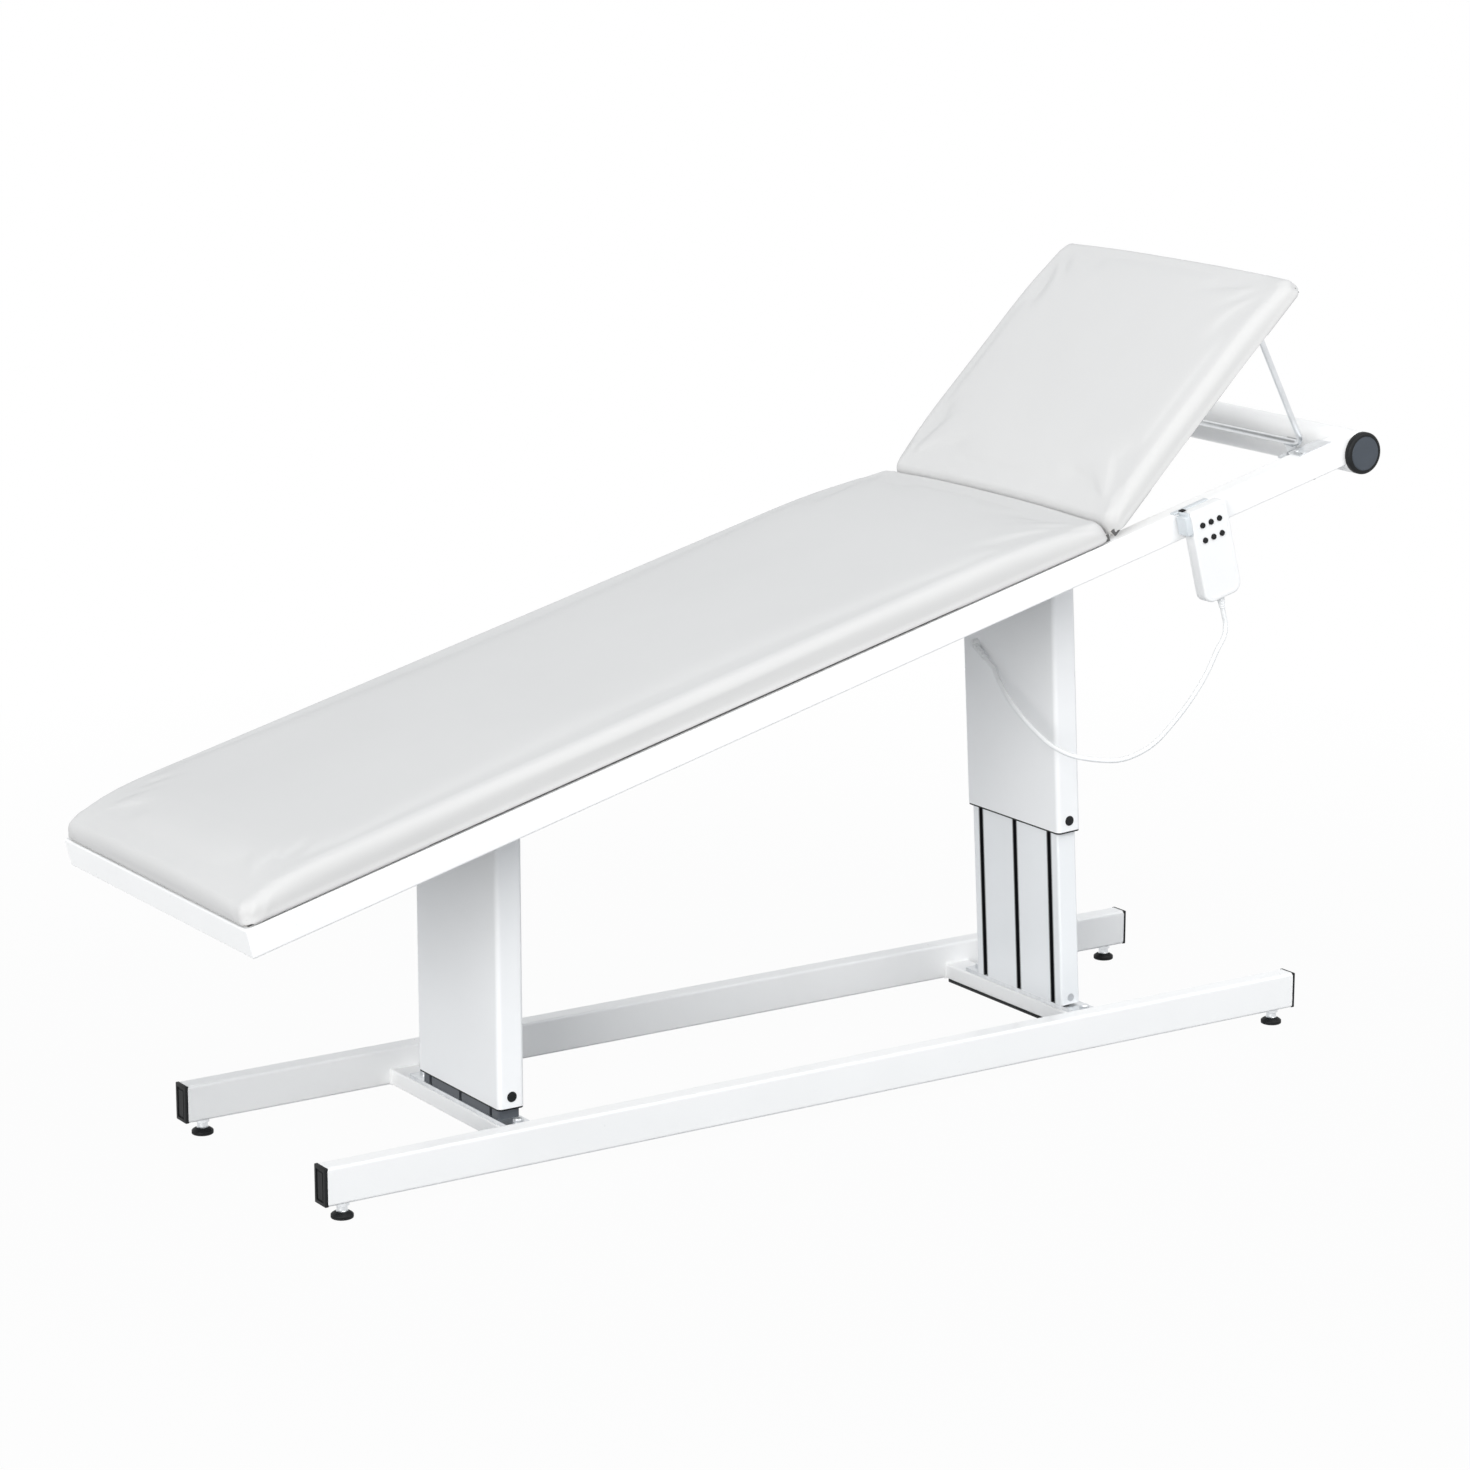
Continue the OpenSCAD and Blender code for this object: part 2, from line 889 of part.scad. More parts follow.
module foot_end_rail() {
  color("white")
    on_frame()
      difference() {
        translate([side_rail_w / 2, -frame_w / 2, -side_rail_h / 2])
          along_y()
            box_tube(side_rail_w, side_rail_h, frame_w, side_rail_r, frame_wall);
        for (side = [-1, 1])
          translate([0, side * frame_w / 2, -side_rail_h / 2])
            rotate([0, 0, side * mitre])
              translate([0, -2 * side_rail_w, -side_rail_h])
                cube([2 * side_rail_w, 4 * side_rail_w, 2 * side_rail_h]);
      }
}

module cross_rails() {
  color("white")
    on_frame()
      for (s = [foot_pin_s + lug_rail_gap + cross_rail_w / 2, middle_rail_s,
                head_pin_s - lug_rail_gap - cross_rail_w / 2])
        translate([s, -rail_inner_y, -cross_rail_h / 2])
          along_y()
            box_tube(cross_rail_w, cross_rail_h, 2 * rail_inner_y, side_rail_r, frame_wall);
}

module head_tube() {
  color("white")
    on_frame()
      translate([head_tube_s, 0, head_tube_n])
        difference() {
          y_cylinder(head_tube_d, frame_w);
          y_cylinder(head_tube_d - 2 * head_tube_wall, frame_w + 2 * overrun);
        }
}

module tube_caps() {
  color([0.12, 0.13, 0.14])
    on_frame()
      both_sides()
        translate([head_tube_s, frame_w / 2, head_tube_n])
          along_y() {
            cylinder(d = head_tube_d, h = tube_cap_t - tube_cap_edge);
            translate([0, 0, tube_cap_t - tube_cap_edge])
              cylinder(d1 = head_tube_d, d2 = head_tube_d - 2 * tube_cap_edge, h = tube_cap_edge);
            translate([0, 0, -end_cap_spigot_l])
              cylinder(d = head_tube_d - 2 * head_tube_wall - 2 * seat_gap, h = end_cap_spigot_l);
          }
}

module rail_plugs() {
  color([0.1, 0.1, 0.1])
    on_frame()
      for (side = [-1, 1])
        translate([head_tube_s - rail_plug_from_tube, side * rail_y, -side_rail_h]) {
          translate([0, 0, -rail_plug_h])
            cylinder(d1 = rail_plug_d - rail_plug_taper, d2 = rail_plug_d, h = rail_plug_h);
          cylinder(d = rail_plug_stem_d, h = frame_wall);
        }
}

// Plates that hang beside each column and take its pin: the head pair has
// round holes, the foot pair slots that let the pin slide
module pivot_lugs() {
  color("white")
    on_frame()
      both_sides() {
        pivot_lug(head_pin_s, head_pin_drop, -1)
          circle(d = pivot_pin_d + 2 * run_gap);
        pivot_lug(foot_pin_s, foot_pin_drop, 1)
          translate([slot_shift, -slot_drop])
            foot_slot();
      }
}

module foot_slot() {
  slot_h = pivot_pin_d + slot_dip + 2 * slot_margin;
  slot_l = pivot_pin_d + slot_travel + 2 * slot_margin;
  square([slot_l - slot_h, slot_h], center = true);
  for (x = [-1, 1])
    translate([x * (slot_l - slot_h) / 2, 0])
      circle(d = slot_h);
}

module pivot_lug(s, drop, rail_side) {
  start = rail_side > 0 ? -lug_reach : -lug_rail_gap;
  translate([s, lug_y + lug_t / 2, -drop])
    rotate([90, 0, 0])
      linear_extrude(lug_t)
        difference() {
          translate([start, -lug_depth])
            square([lug_reach + lug_rail_gap, lug_depth + drop - lug_top]);
          children();
        }
}

module board(l, w) {
  color([0.78, 0.66, 0.48])
    translate([hinge_clear, -w / 2, 0])
      cube([l, w, board_t]);
}

module leg_board() {
  on_frame()
    translate([board_inset - hinge_clear, 0, 0])
      board(leg_l - hinge_clear - board_inset, frame_w - 2 * board_inset);
}

// Cushions: rings of points from end to end, each ring a flat base with drawn
// sides, rounded edges and a crowned top

function round_in(d, r) = d >= r ? 0 : r - sqrt(r * r - (r - d) * (r - d));

function ease_share(d, ramp, power) = d >= ramp ? 1 : 1 - pow(1 - d / ramp, power);

function pad_ring(s, l, w, h, end_r, shear) =
  let (
    d = min(s, l - s),
    tuck = round_in(d, end_r),
    half = w / 2 - pad_draw * sin(180 * s / l) - round_in(d, pad_corner_r),
    low = pad_lift + tuck,
    high = pad_lift + h - tuck,
    r = min(pad_side_r, (high - low) * pad_side_share),
    q = min(pad_foot_r, (high - low) * pad_foot_share),
    flat = half - r,
    rise = pad_crown * (high - low) / h,
    right = [
      for (a = [-90:45:0]) [half - q + q * cos(a), low + q + q * sin(a)],
      for (a = [0:22.5:90]) [half - r + r * cos(a), high - r + r * sin(a)]
    ],
    top = [for (i = [1:7]) let (y = flat * (1 - i / 4)) [y, high + rise * (1 - pow(y / flat, 2))]],
    left = [for (i = [len(right) - 1:-1:0]) [-right[i].x, right[i].y]]
  )
  [for (p = concat(right, top, left)) [s + shear * p.y, p.x, p.y]];

module ring_solid(rings) {
  n = len(rings[0]);
  m = len(rings);
  points = [for (ring = rings, p = ring) p];
  sides = [
    for (k = [0:m - 2], i = [0:n - 1])
      let (a = k * n + i, b = k * n + (i + 1) % n)
        each [[a, b + n, b], [a, a + n, b + n]]
  ];
  first = [[for (i = [0:n - 1]) i]];
  last = [[for (i = [n - 1:-1:0]) (m - 1) * n + i]];
  polyhedron(points = points, faces = concat(sides, first, last));
}

// Stations from one end of a pad to the other: close at the rounded ends,
// then over each slope and across the level middle
end_shares = [0, 0.06, 0.25, 0.55, 1];
corner_shares = [0.5, 0.72, 1];
ramp_shares = [0.22, 0.36, 0.5, 0.66, 0.82, 1];
middle_shares = [0.2, 0.4, 0.6, 0.8];

function pad_end(ramp) = concat(
  pad_end_r * end_shares, pad_corner_r * corner_shares, ramp * ramp_shares
);

function pad_stations(l, ramp_a, ramp_b) =
  let (b = pad_end(ramp_b), room = l - ramp_a - ramp_b)
  concat(
    pad_end(ramp_a),
    [for (t = middle_shares) ramp_a + room * t],
    [for (i = [len(b) - 1:-1:0]) l - b[i]]
  );

function leg_h(s, l) = min(
  leg_foot_h + (leg_pad_h - leg_foot_h) * ease_share(s, leg_foot_ramp, leg_foot_ease),
  leg_fold_h + (leg_pad_h - leg_fold_h) * ease_share(l - s, leg_fold_ramp, leg_fold_ease)
);

function back_h(s, l) = min(
  back_fold_h + (back_pad_h - back_fold_h) * ease_share(s, back_ramp, back_ease),
  back_end_h + (back_pad_h - back_end_h) * ease_share(l - s, back_ramp, back_ease)
);

// The pads' ends meet along a plane that halves the backrest's slope
function fold_shear(d) = tan(back_angle / 2) * max(0, 1 - d / fold_reach);

module leg_cushion() {
  l = leg_l - fold_gap;
  color([0.88, 0.88, 0.88])
    on_frame()
      difference() {
        ring_solid([
          for (s = pad_stations(l, leg_foot_ramp, leg_fold_ramp))
            pad_ring(s, l, frame_w, leg_h(s, l), pad_end_r, -fold_shear(l - s))
        ]);
        translate([board_inset, -frame_w / 2 + board_inset, -overrun])
          cube([leg_l - hinge_clear - board_inset, frame_w - 2 * board_inset, board_t + overrun]);
      }
}

module backrest_board() {
  w = frame_w - 2 * board_inset;
  color([0.78, 0.66, 0.48])
    on_backrest()
      difference() {
        translate([hinge_clear, -w / 2, board_gap])
          cube([back_l - hinge_clear - board_inset, w, board_t - board_gap]);
        for (side = [0, 1])
          mirror([0, side, 0])
            translate([stay_seat_s - notch_from_bar, notch_y, -overrun])
              cube([notch_l, frame_w, board_t + 2 * overrun]);
      }
}

module backrest_cushion() {
  l = back_l - fold_gap;
  color([0.88, 0.88, 0.88])
    on_backrest()
      difference() {
        translate([fold_gap, 0, 0])
          ring_solid([
            for (s = pad_stations(l, back_ramp, back_ramp))
              pad_ring(s, l, frame_w, back_h(s, l), pad_end_r, fold_shear(s))
          ]);
        translate([hinge_clear, -frame_w / 2 + board_inset, -overrun])
          cube([back_l - hinge_clear - board_inset, frame_w - 2 * board_inset, board_t + overrun]);
      }
}

// Hinges between the two boards: each leaf lies under its board, and the
// knuckles share one pin

module hinge_leaf(knuckle_shares) {
  translate([leaf_gap, leaf_y - leaf_w / 2, -leaf_t])
    cube([leaf_l - leaf_gap, leaf_w, leaf_t]);
  for (share = knuckle_shares)
    translate([0, leaf_y + share * leaf_w, 0])
      difference() {
        union() {
          y_cylinder(2 * knuckle_r, knuckle_l - seat_gap);
          translate([0, -(knuckle_l - seat_gap) / 2, -leaf_t])
            cube([leaf_gap + overrun, knuckle_l - seat_gap, leaf_t]);
        }
        y_cylinder(2 * (hinge_pin_r + run_gap), leaf_w);
      }
}

module frame_hinge_leaves() {
  color([0.7, 0.7, 0.72])
    on_frame()
      translate([leg_l, 0, 0])
        mirror([1, 0, 0])
          both_sides()
            hinge_leaf([-1 / 3, 1 / 3]);
}

module back_hinge_leaves() {
  color([0.7, 0.7, 0.72])
    on_backrest()
      both_sides() {
        hinge_leaf([0]);
        translate([leaf_gap, leaf_y - leaf_w / 2, 0])
          cube([leaf_l - leaf_gap, leaf_w, board_gap]);
      }
}

module hinge_pins() {
  color([0.6, 0.6, 0.62])
    on_frame()
      both_sides()
        translate([leg_l, leaf_y, 0])
          y_cylinder(2 * hinge_pin_r, leaf_w);
}

// Backrest stay: one bent rod, pivoted in two lugs under the backrest

module stay_lugs() {
  color([0.75, 0.76, 0.78])
    on_backrest()
      both_sides()
        translate([stay_pivot_s, stay_reach - stay_d / 2 - stay_lug_gap, -stay_pivot_drop])
          rotate([90, 0, 0])
            linear_extrude(stay_lug_t)
              difference() {
                union() {
                  circle(stay_lug_r);
                  translate([-stay_lug_r, 0])
                    square([2 * stay_lug_r, stay_pivot_drop + board_gap]);
                  translate([-stay_lug_base / 2, stay_pivot_drop + board_gap - leaf_t])
                    square([stay_lug_base, leaf_t]);
                }
                circle(d = stay_d + 2 * run_gap);
              }
}

module rod_bend(r, start) {
  rotate([0, 0, start])
    rotate_extrude(angle = 90)
      translate([r, 0])
        circle(d = stay_d);
}

module back_stay() {
  color([0.85, 0.86, 0.88])
    on_frame()
      translate([leg_l + stay_head.x, 0, stay_head.y])
        rotate([0, -stay_slope, 0]) {
          translate([stay_l, 0, 0])
            y_cylinder(stay_d, 2 * (stay_reach - stay_bend_r));
          both_sides()
            stay_side();
        }
}

module stay_side() {
  translate([stay_pin_bend_r, stay_reach, 0])
    rotate([0, 90, 0])
      cylinder(d = stay_d, h = stay_l - stay_bend_r - stay_pin_bend_r);
  translate([stay_l - stay_bend_r, stay_reach - stay_bend_r, 0])
    rod_bend(stay_bend_r, 0);
  translate([stay_pin_bend_r, stay_reach - stay_pin_bend_r, 0])
    rod_bend(stay_pin_bend_r, 90);
  translate([0, stay_reach - stay_pin_l, 0])
    along_y()
      cylinder(d = stay_d, h = stay_pin_l - stay_pin_bend_r);
}

// The stay's bar stands against a sloping tab of each seat. The tab stands
// between the stay's pivots, on an arm that passes below them
module stay_seats() {
  flange_y = rail_inner_y - seat_gap - seat_flange_t;
  tab_y = stay_reach - stay_pin_l - seat_clear - seat_tab_w;
  reach = stay_d / 2 + seat_gap;
  color([0.85, 0.86, 0.88])
    on_frame()
      both_sides()
        difference() {
          translate([leg_l + stay_seat_s, 0, -stay_seat_drop]) {
            translate([seat_plate_over - seat_plate_l, flange_y, stay_seat_drop])
              cube([seat_plate_l, seat_plate_w, seat_plate_t]);
            translate([seat_plate_over - seat_plate_l / 2, flange_y, stay_seat_drop - seat_arm_drop])
              cube([seat_plate_l / 2, seat_flange_t, seat_arm_drop]);
            translate([seat_plate_over - seat_plate_l / 2, tab_y, stay_seat_drop - seat_arm_drop])
              cube([seat_plate_l / 2, flange_y - tab_y + seat_flange_t, seat_arm_t]);
            translate([seat_web_s, tab_y, stay_seat_drop - seat_arm_drop])
              cube([seat_arm_t, seat_tab_w, seat_web_h]);
            rotate([0, -seat_tab_slope, 0])
              translate([-seat_tab_down, tab_y, -reach - seat_tab_t])
                cube([seat_tab_up + seat_tab_down, seat_tab_w, seat_tab_t]);
          }
          seat_screw_places()
            translate([0, 0, -overrun])
              cylinder(d = screw_d + 2 * run_gap, h = seat_plate_t + 2 * overrun);
        }
}

module seat_screw_places() {
  for (i = [0, 1])
    translate([
      leg_l + stay_seat_s - screw_from_bar,
      rail_inner_y + screw_head_d / 2 + i * screw_spacing,
      0
    ])
      children();
}

module seat_screws() {
  color([0.8, 0.8, 0.82])
    on_frame()
      both_sides()
        seat_screw_places() {
          translate([0, 0, seat_plate_t])
            cylinder(d1 = screw_head_d, d2 = screw_head_d - 2 * screw_head_h, h = screw_head_h);
          translate([0, 0, seat_plate_t - screw_l])
            cylinder(d = screw_d, h = screw_l);
        }
}

// Handset

module handset_outline(inset) {
  w = handset_w / 2 - inset;
  top_r = handset_r - inset;
  foot_r = handset_foot_r - inset;
  h = handset_h - 2 * inset;
  translate([0, -inset]) {
    translate([-w, foot_r - h])
      square([2 * w, h - foot_r - top_r]);
    translate([top_r - w, -top_r])
      square([2 * (w - top_r), top_r]);
    translate([foot_r - w, -h])
      square([2 * (w - foot_r), foot_r]);
    for (side = [-1, 1]) {
      translate([side * (w - top_r), -top_r])
        circle(top_r);
      translate([side * (w - foot_r), foot_r - h])
        circle(foot_r);
    }
  }
}

// Draws with X along the frame and Y square to it, standing out from the rail
module on_handset(depth) {
  on_frame()
    translate([handset_s, handset_back_y - depth, handset_top_n])
      rotate([90, 0, 0])
        children();
}

module handset_back() {
  color([0.86, 0.87, 0.88])
    on_handset(0)
      linear_extrude(handset_back_t)
        handset_outline(0);
}

module handset_shell() {
  shell_t = handset_t - handset_back_t;
  color([0.95, 0.95, 0.95])
    on_handset(handset_back_t)
      difference() {
        linear_extrude(shell_t)
          handset_outline(0);
        translate([0, 0, -overrun])
          linear_extrude(shell_t - handset_wall + overrun)
            handset_outline(handset_wall);
        for (row = [0, 1], col = [-1:1])
          translate([col * button_pitch, -button_row_drop - row * button_row_pitch, 0])
            cylinder(d = button_d + 2 * button_gap, h = shell_t + overrun);
      }
}

module button(row, col) {
  color([0.1, 0.1, 0.1])
    on_handset(handset_t)
      translate([col * button_pitch, -button_row_drop - row * button_row_pitch, 0]) {
        translate([0, 0, button_proud - button_l])
          cylinder(d = button_d, h = button_l);
        translate([0, 0, -handset_wall - seat_gap - button_collar])
          cylinder(d = button_d + 2 * button_collar, h = button_collar);
      }
}

module button_1() {
  button(0, -1);
}

module button_2() {
  button(0, 0);
}

module button_3() {
  button(0, 1);
}

module button_4() {
  button(1, -1);
}

module button_5() {
  button(1, 0);
}

module button_6() {
  button(1, 1);
}

// Holder of the handset: a plate behind it, a cheek on its foot side and a
// lip over the rail
module handset_hook() {
  start = handset_s - handset_w / 2 - seat_gap - hook_t;
  color([0.35, 0.36, 0.38])
    on_frame() {
      translate([start, handset_back_y, -hook_flange_h])
        cube([handset_w * hook_share, hook_t, hook_flange_h + hook_t]);
      translate([start, handset_front_y + hook_t, -hook_flange_h])
        cube([hook_t, handset_t, hook_flange_h + hook_t]);
      translate([start - hook_lap, handset_back_y, 0])
        cube([handset_w * hook_share + hook_lap, hook_t + hook_tongue, hook_t]);
    }
}

module strain_relief() {
  color([0.75, 0.76, 0.78])
    on_frame()
      translate([handset_s, handset_back_y - handset_t / 2, handset_top_n - handset_h])
        mirror([0, 0, 1])
          cylinder(d1 = relief_d, d2 = relief_tip_d, h = relief_l - cord_gap);
}

// Cord: a tube swept along a smooth curve through the route's points

function curve_point(p, i, t) =
  let (
    a = p[max(i - 1, 0)],
    b = p[i],
    c = p[i + 1],
    d = p[min(i + 2, len(p) - 1)]
  )
  (2 * b + (c - a) * t + (2 * a - 5 * b + 4 * c - d) * pow(t, 2) + (3 * b - a - 3 * c + d) * pow(t, 3)) / 2;

function unit(v) = v / norm(v);

function cord_ring(path, k) =
  let (
    t = unit(path[min(k + 1, len(path) - 1)] - path[max(k - 1, 0)]),
    u = unit(cross(cord_side_shares, t)),
    v = cross(t, u)
  )
  [
    for (i = [0:cord_sides - 1])
      let (a = 360 * i / cord_sides)
        path[k] + cord_d / 2 * (cos(a) * u + sin(a) * v)
  ];

module handset_cord() {
  path = concat(
    [for (i = [0:len(cord_points) - 2], k = [0:cord_steps - 1]) curve_point(cord_points, i, k / cord_steps)],
    [cord_end]
  );
  color([0.8, 0.81, 0.83])
    ring_solid([for (k = [0:len(path) - 1]) cord_ring(path, k)]);
}

near_floor_rail();
far_floor_rail();
foot_crossmember();
head_crossmember();
rail_end_caps();
foot_base_plate();
head_pivot_bracket();
base_bolts();
foot_column_profile();
foot_lift_nut();
head_pivot_pin();
levelling_foot_1();
levelling_foot_2();
levelling_foot_3();
levelling_foot_4();
foot_casing();
foot_casing_trim();
foot_casing_plugs();
foot_drive_unit();
foot_lift_screw();
foot_pivot_pin();
head_column_profile();
head_ram_tube();
head_casing();
head_casing_trim();
head_casing_plugs();
head_drive_unit();
head_lift_screw();
top_pivot_pin();
cord_gland();
near_side_rail();
far_side_rail();
foot_end_rail();
cross_rails();
head_tube();
tube_caps();
rail_plugs();
pivot_lugs();
leg_board();
leg_cushion();
frame_hinge_leaves();
hinge_pins();
stay_seats();
seat_screws();
handset_shell();
handset_back();
handset_hook();
handset_cord();
strain_relief();
backrest_board();
backrest_cushion();
back_hinge_leaves();
stay_lugs();
back_stay();
button_1();
button_2();
button_3();
button_4();
button_5();
button_6();
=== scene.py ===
"""Looks of an examination table on two lifting columns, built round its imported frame."""

import json
import math

import bpy
import numpy as np
from bpy.props import FloatProperty, FloatVectorProperty, IntProperty, PointerProperty
from mathutils import Matrix, Vector


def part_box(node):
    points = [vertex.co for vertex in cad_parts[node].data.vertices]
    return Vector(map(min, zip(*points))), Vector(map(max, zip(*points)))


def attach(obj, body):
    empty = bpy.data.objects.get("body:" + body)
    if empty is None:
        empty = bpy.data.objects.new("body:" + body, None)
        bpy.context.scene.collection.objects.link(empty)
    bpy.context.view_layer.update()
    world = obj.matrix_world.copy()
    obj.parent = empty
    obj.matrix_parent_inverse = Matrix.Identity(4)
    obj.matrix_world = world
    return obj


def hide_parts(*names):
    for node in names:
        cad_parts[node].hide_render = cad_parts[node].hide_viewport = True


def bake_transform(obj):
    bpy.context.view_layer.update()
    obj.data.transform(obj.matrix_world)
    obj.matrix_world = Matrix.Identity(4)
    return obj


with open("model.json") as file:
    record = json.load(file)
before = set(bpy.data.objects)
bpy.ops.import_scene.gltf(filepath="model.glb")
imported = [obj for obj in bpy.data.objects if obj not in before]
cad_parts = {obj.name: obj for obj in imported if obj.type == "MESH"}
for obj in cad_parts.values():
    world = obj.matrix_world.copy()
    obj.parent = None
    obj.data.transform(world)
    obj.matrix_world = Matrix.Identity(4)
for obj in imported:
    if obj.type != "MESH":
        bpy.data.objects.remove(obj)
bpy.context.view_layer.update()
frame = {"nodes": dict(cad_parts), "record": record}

bl_info = {
    "name": "Examination table",
    "version": (1, 0, 0),
    "blender": (4, 5, 0),
    "location": "View3D > Sidebar > Table",
    "description": "Cushions, columns, handset, cord and fittings of an examination table",
    "category": "Object",
}

MM = 0.001


def at(x, y, z):
    """A move, in metres."""
    return Matrix.Translation((x, y, z))


def about(axis, degrees):
    """A turn about an axis."""
    return Matrix.Rotation(math.radians(degrees), 4, axis)


# Angles at rest, in degrees
TOP_SLOPE = 14.5
BACK_RISE = 30.3
HEAD_LEAN = 2.96

# Frames at rest, in metres. On the top, X runs up along it from its foot end, and Z is
# its height over the rails
LEG_LENGTH = 1.434
FOOT_COLUMN_X = -0.451
TOP = at(-0.930066, 0, 0.435355) @ about("Y", -TOP_SLOPE)
BACK = TOP @ at(LEG_LENGTH, 0, 0) @ about("Y", -BACK_RISE)
HEAD_COLUMN = at(0.519912, 0, 0.065) @ about("Y", -HEAD_LEAN)
FOOT_COLUMN = at(FOOT_COLUMN_X, 0, 0.069)
HANDSET = TOP @ at(1.5845, -0.276, 0.001) @ about("X", 90)

# Places on the top, in metres: the head tube's end and a plug under a rail
TUBE_END = Vector((1.892, 0.274, -0.032))
RAIL_PLUG = Vector((1.809, 0.259, -0.041))
# Where the stay's seats end, and how far these ends stand clear of the backrest's board
SEAT_END = LEG_LENGTH + 0.350
SEAT_CLEARANCE = 0.0008

# Cushions, in metres over the rails and from the middle
BOARD_TOP = 0.010
BOARD_SIDE = 0.2665
COVER_LOW = 2.5 * MM
STUFFING_STEPS = 20

# Camera and floor, in metres
CAMERA_PLACE = (-3.3194, -5.0783, 1.9646)
CAMERA_SHIFT = (0.00017, -0.01219)
FLOOR_SIZE = 160
# Between these distances from the middle, the floor's painted shade round the table gives way to
# white glow
FADE_START = 1.15
FADE_END = 2.8
LAMP_COLOUR = (1, 0.988, 0.968)

# Pieces on the floor frame and columns, in millimetres
CASING_SIDE = 114
BOLT_Y = 131
WELD_Y = 192
ZINC_FROM = 9.4
# Radius beyond which a tube cap's rounded rim is black, as painted shade on its bevel
CAP_SHADE_RADIUS = 24.9

# The cord's route in millimetres, from the strain relief to the gland
CORD_START = Vector((643.774, -287, 678.147))
CORD_HANG = (
    (3.1, 0, -12), (6.2, 0, -24), (4, -1, -42), (-10, -1, -64), (-28, 0, -97),
    (-53, 4, -133), (-80, 11, -166), (-102, 20, -191), (-124, 31, -207), (-147, 44, -216),
    (-171, 62, -217), (-197, 90, -213), (-211, 122, -203), (-215, 155, -189),
    (-214, 195, -171), (-206, 239, -152), (-189, 287, -135), (-179.2, 310.7, -125.2),
    (-179, 321.4, -119.7),
)
GLAND_FACE = Vector((472.243, 76, 580.226))
CORD_END = Vector((465.043, 45, 564.026))


class TableSizes(bpy.types.PropertyGroup):
    """Sizes of the pieces that are made here."""

    cord_diameter: FloatProperty(
        name="Cord diameter", description="Diameter of the handset's cord",
        default=0.007, min=0.004, max=0.01, unit="LENGTH")
    weave_voxel: FloatProperty(
        name="Cushion mesh", description="Size of a face of a cushion before it is subdivided",
        default=0.006, min=0.004, max=0.012, unit="LENGTH")
    cover_slack: FloatProperty(
        name="Cover slack", description="How far a cushion's cover starts inside its final shape",
        default=0.003, min=0, max=0.006, unit="LENGTH")
    cover_rise: FloatProperty(
        name="Cover rise", description="How far the stuffing may push a cushion's cover out",
        default=0.0042, min=0, max=0.016, unit="LENGTH")
    cover_hold: FloatProperty(
        name="Cover hold", description="How far out the cover is held where it sinks",
        default=0.0018, min=0, max=0.004, unit="LENGTH")
    cover_pressure: FloatProperty(
        name="Cover pressure", description="Pressure of the stuffing", default=4, min=0, max=20)
    handset_width: FloatProperty(
        name="Handset width", description="Width of the handset", default=0.068, unit="LENGTH")
    handset_height: FloatProperty(
        name="Handset height", description="Height of the handset", default=0.142, unit="LENGTH")
    button_diameter: FloatProperty(
        name="Button diameter", description="Diameter of a button", default=0.008, unit="LENGTH")
    round_sides: IntProperty(
        name="Sides of round pieces", description="Sides of a turned piece", default=40, min=12)


class TableColours(bpy.types.PropertyGroup):
    """Colours of the finishes."""

    vinyl: FloatVectorProperty(
        name="Vinyl", description="Cover of the cushions", subtype="COLOR",
        default=(0.648, 0.645, 0.642), min=0, max=1)
    paint: FloatVectorProperty(
        name="Paint", description="Gloss coat of the rails", subtype="COLOR",
        default=(0.95, 0.951, 0.953), min=0, max=1)
    casing: FloatVectorProperty(
        name="Casing", description="Satin coat of the column casings", subtype="COLOR",
        default=(0.945, 0.953, 0.965), min=0, max=1)
    plastic: FloatVectorProperty(
        name="Plastic", description="Black caps, plugs and feet", subtype="COLOR",
        default=(0.007, 0.008, 0.009), min=0, max=1)
    tube_cap: FloatVectorProperty(
        name="Tube cap", description="Caps of the head tube", subtype="COLOR",
        default=(0.055, 0.066, 0.082), min=0, max=1)
    handset: FloatVectorProperty(
        name="Handset", description="Shells of the handset", subtype="COLOR",
        default=(0.88, 0.885, 0.89), min=0, max=1)


class StageSettings(bpy.types.PropertyGroup):
    """Camera and light."""

    lens: FloatProperty(
        name="Lens", description="Focal length", default=106.858, min=20, subtype="DISTANCE_CAMERA")
    azimuth: FloatProperty(
        name="Azimuth", description="Way the camera looks, from +X towards +Y",
        default=math.radians(56.914), subtype="ANGLE")
    pitch: FloatProperty(
        name="Pitch", description="How far the camera looks down",
        default=math.radians(13.201), subtype="ANGLE")
    key_strength: FloatProperty(
        name="Key light", description="Strength of the soft key light", default=1.28, min=0)
    side_strength: FloatProperty(
        name="Side light", description="Strength of the low light from the foot end",
        default=1.9, min=0)
    fill_strength: FloatProperty(
        name="Fill light", description="Brightness of the room", default=0.6, min=0, max=1)


def deselect():
    """Leaves edit mode and clears the selection."""
    if bpy.context.object is not None and bpy.context.object.mode != "OBJECT":
        bpy.ops.object.mode_set(mode="OBJECT")
    bpy.ops.object.select_all(action="DESELECT")


def only(piece):
    """Makes this the one selected, active piece."""
    deselect()
    piece.select_set(True)
    bpy.context.view_layer.objects.active = piece


def settle(piece):
    """Puts the piece's place into its mesh."""
    only(piece)
    bpy.ops.object.transform_apply(location=True, rotation=True, scale=True)


def put(piece, place):
    """Moves a finished piece to its place in the frame."""
    piece.matrix_world = place
    settle(piece)
    return piece


def smooth(piece, degrees=35):
    """Shades round faces smooth and keeps the sharp edges."""
    only(piece)
    bpy.ops.object.shade_smooth_by_angle(angle=math.radians(degrees))


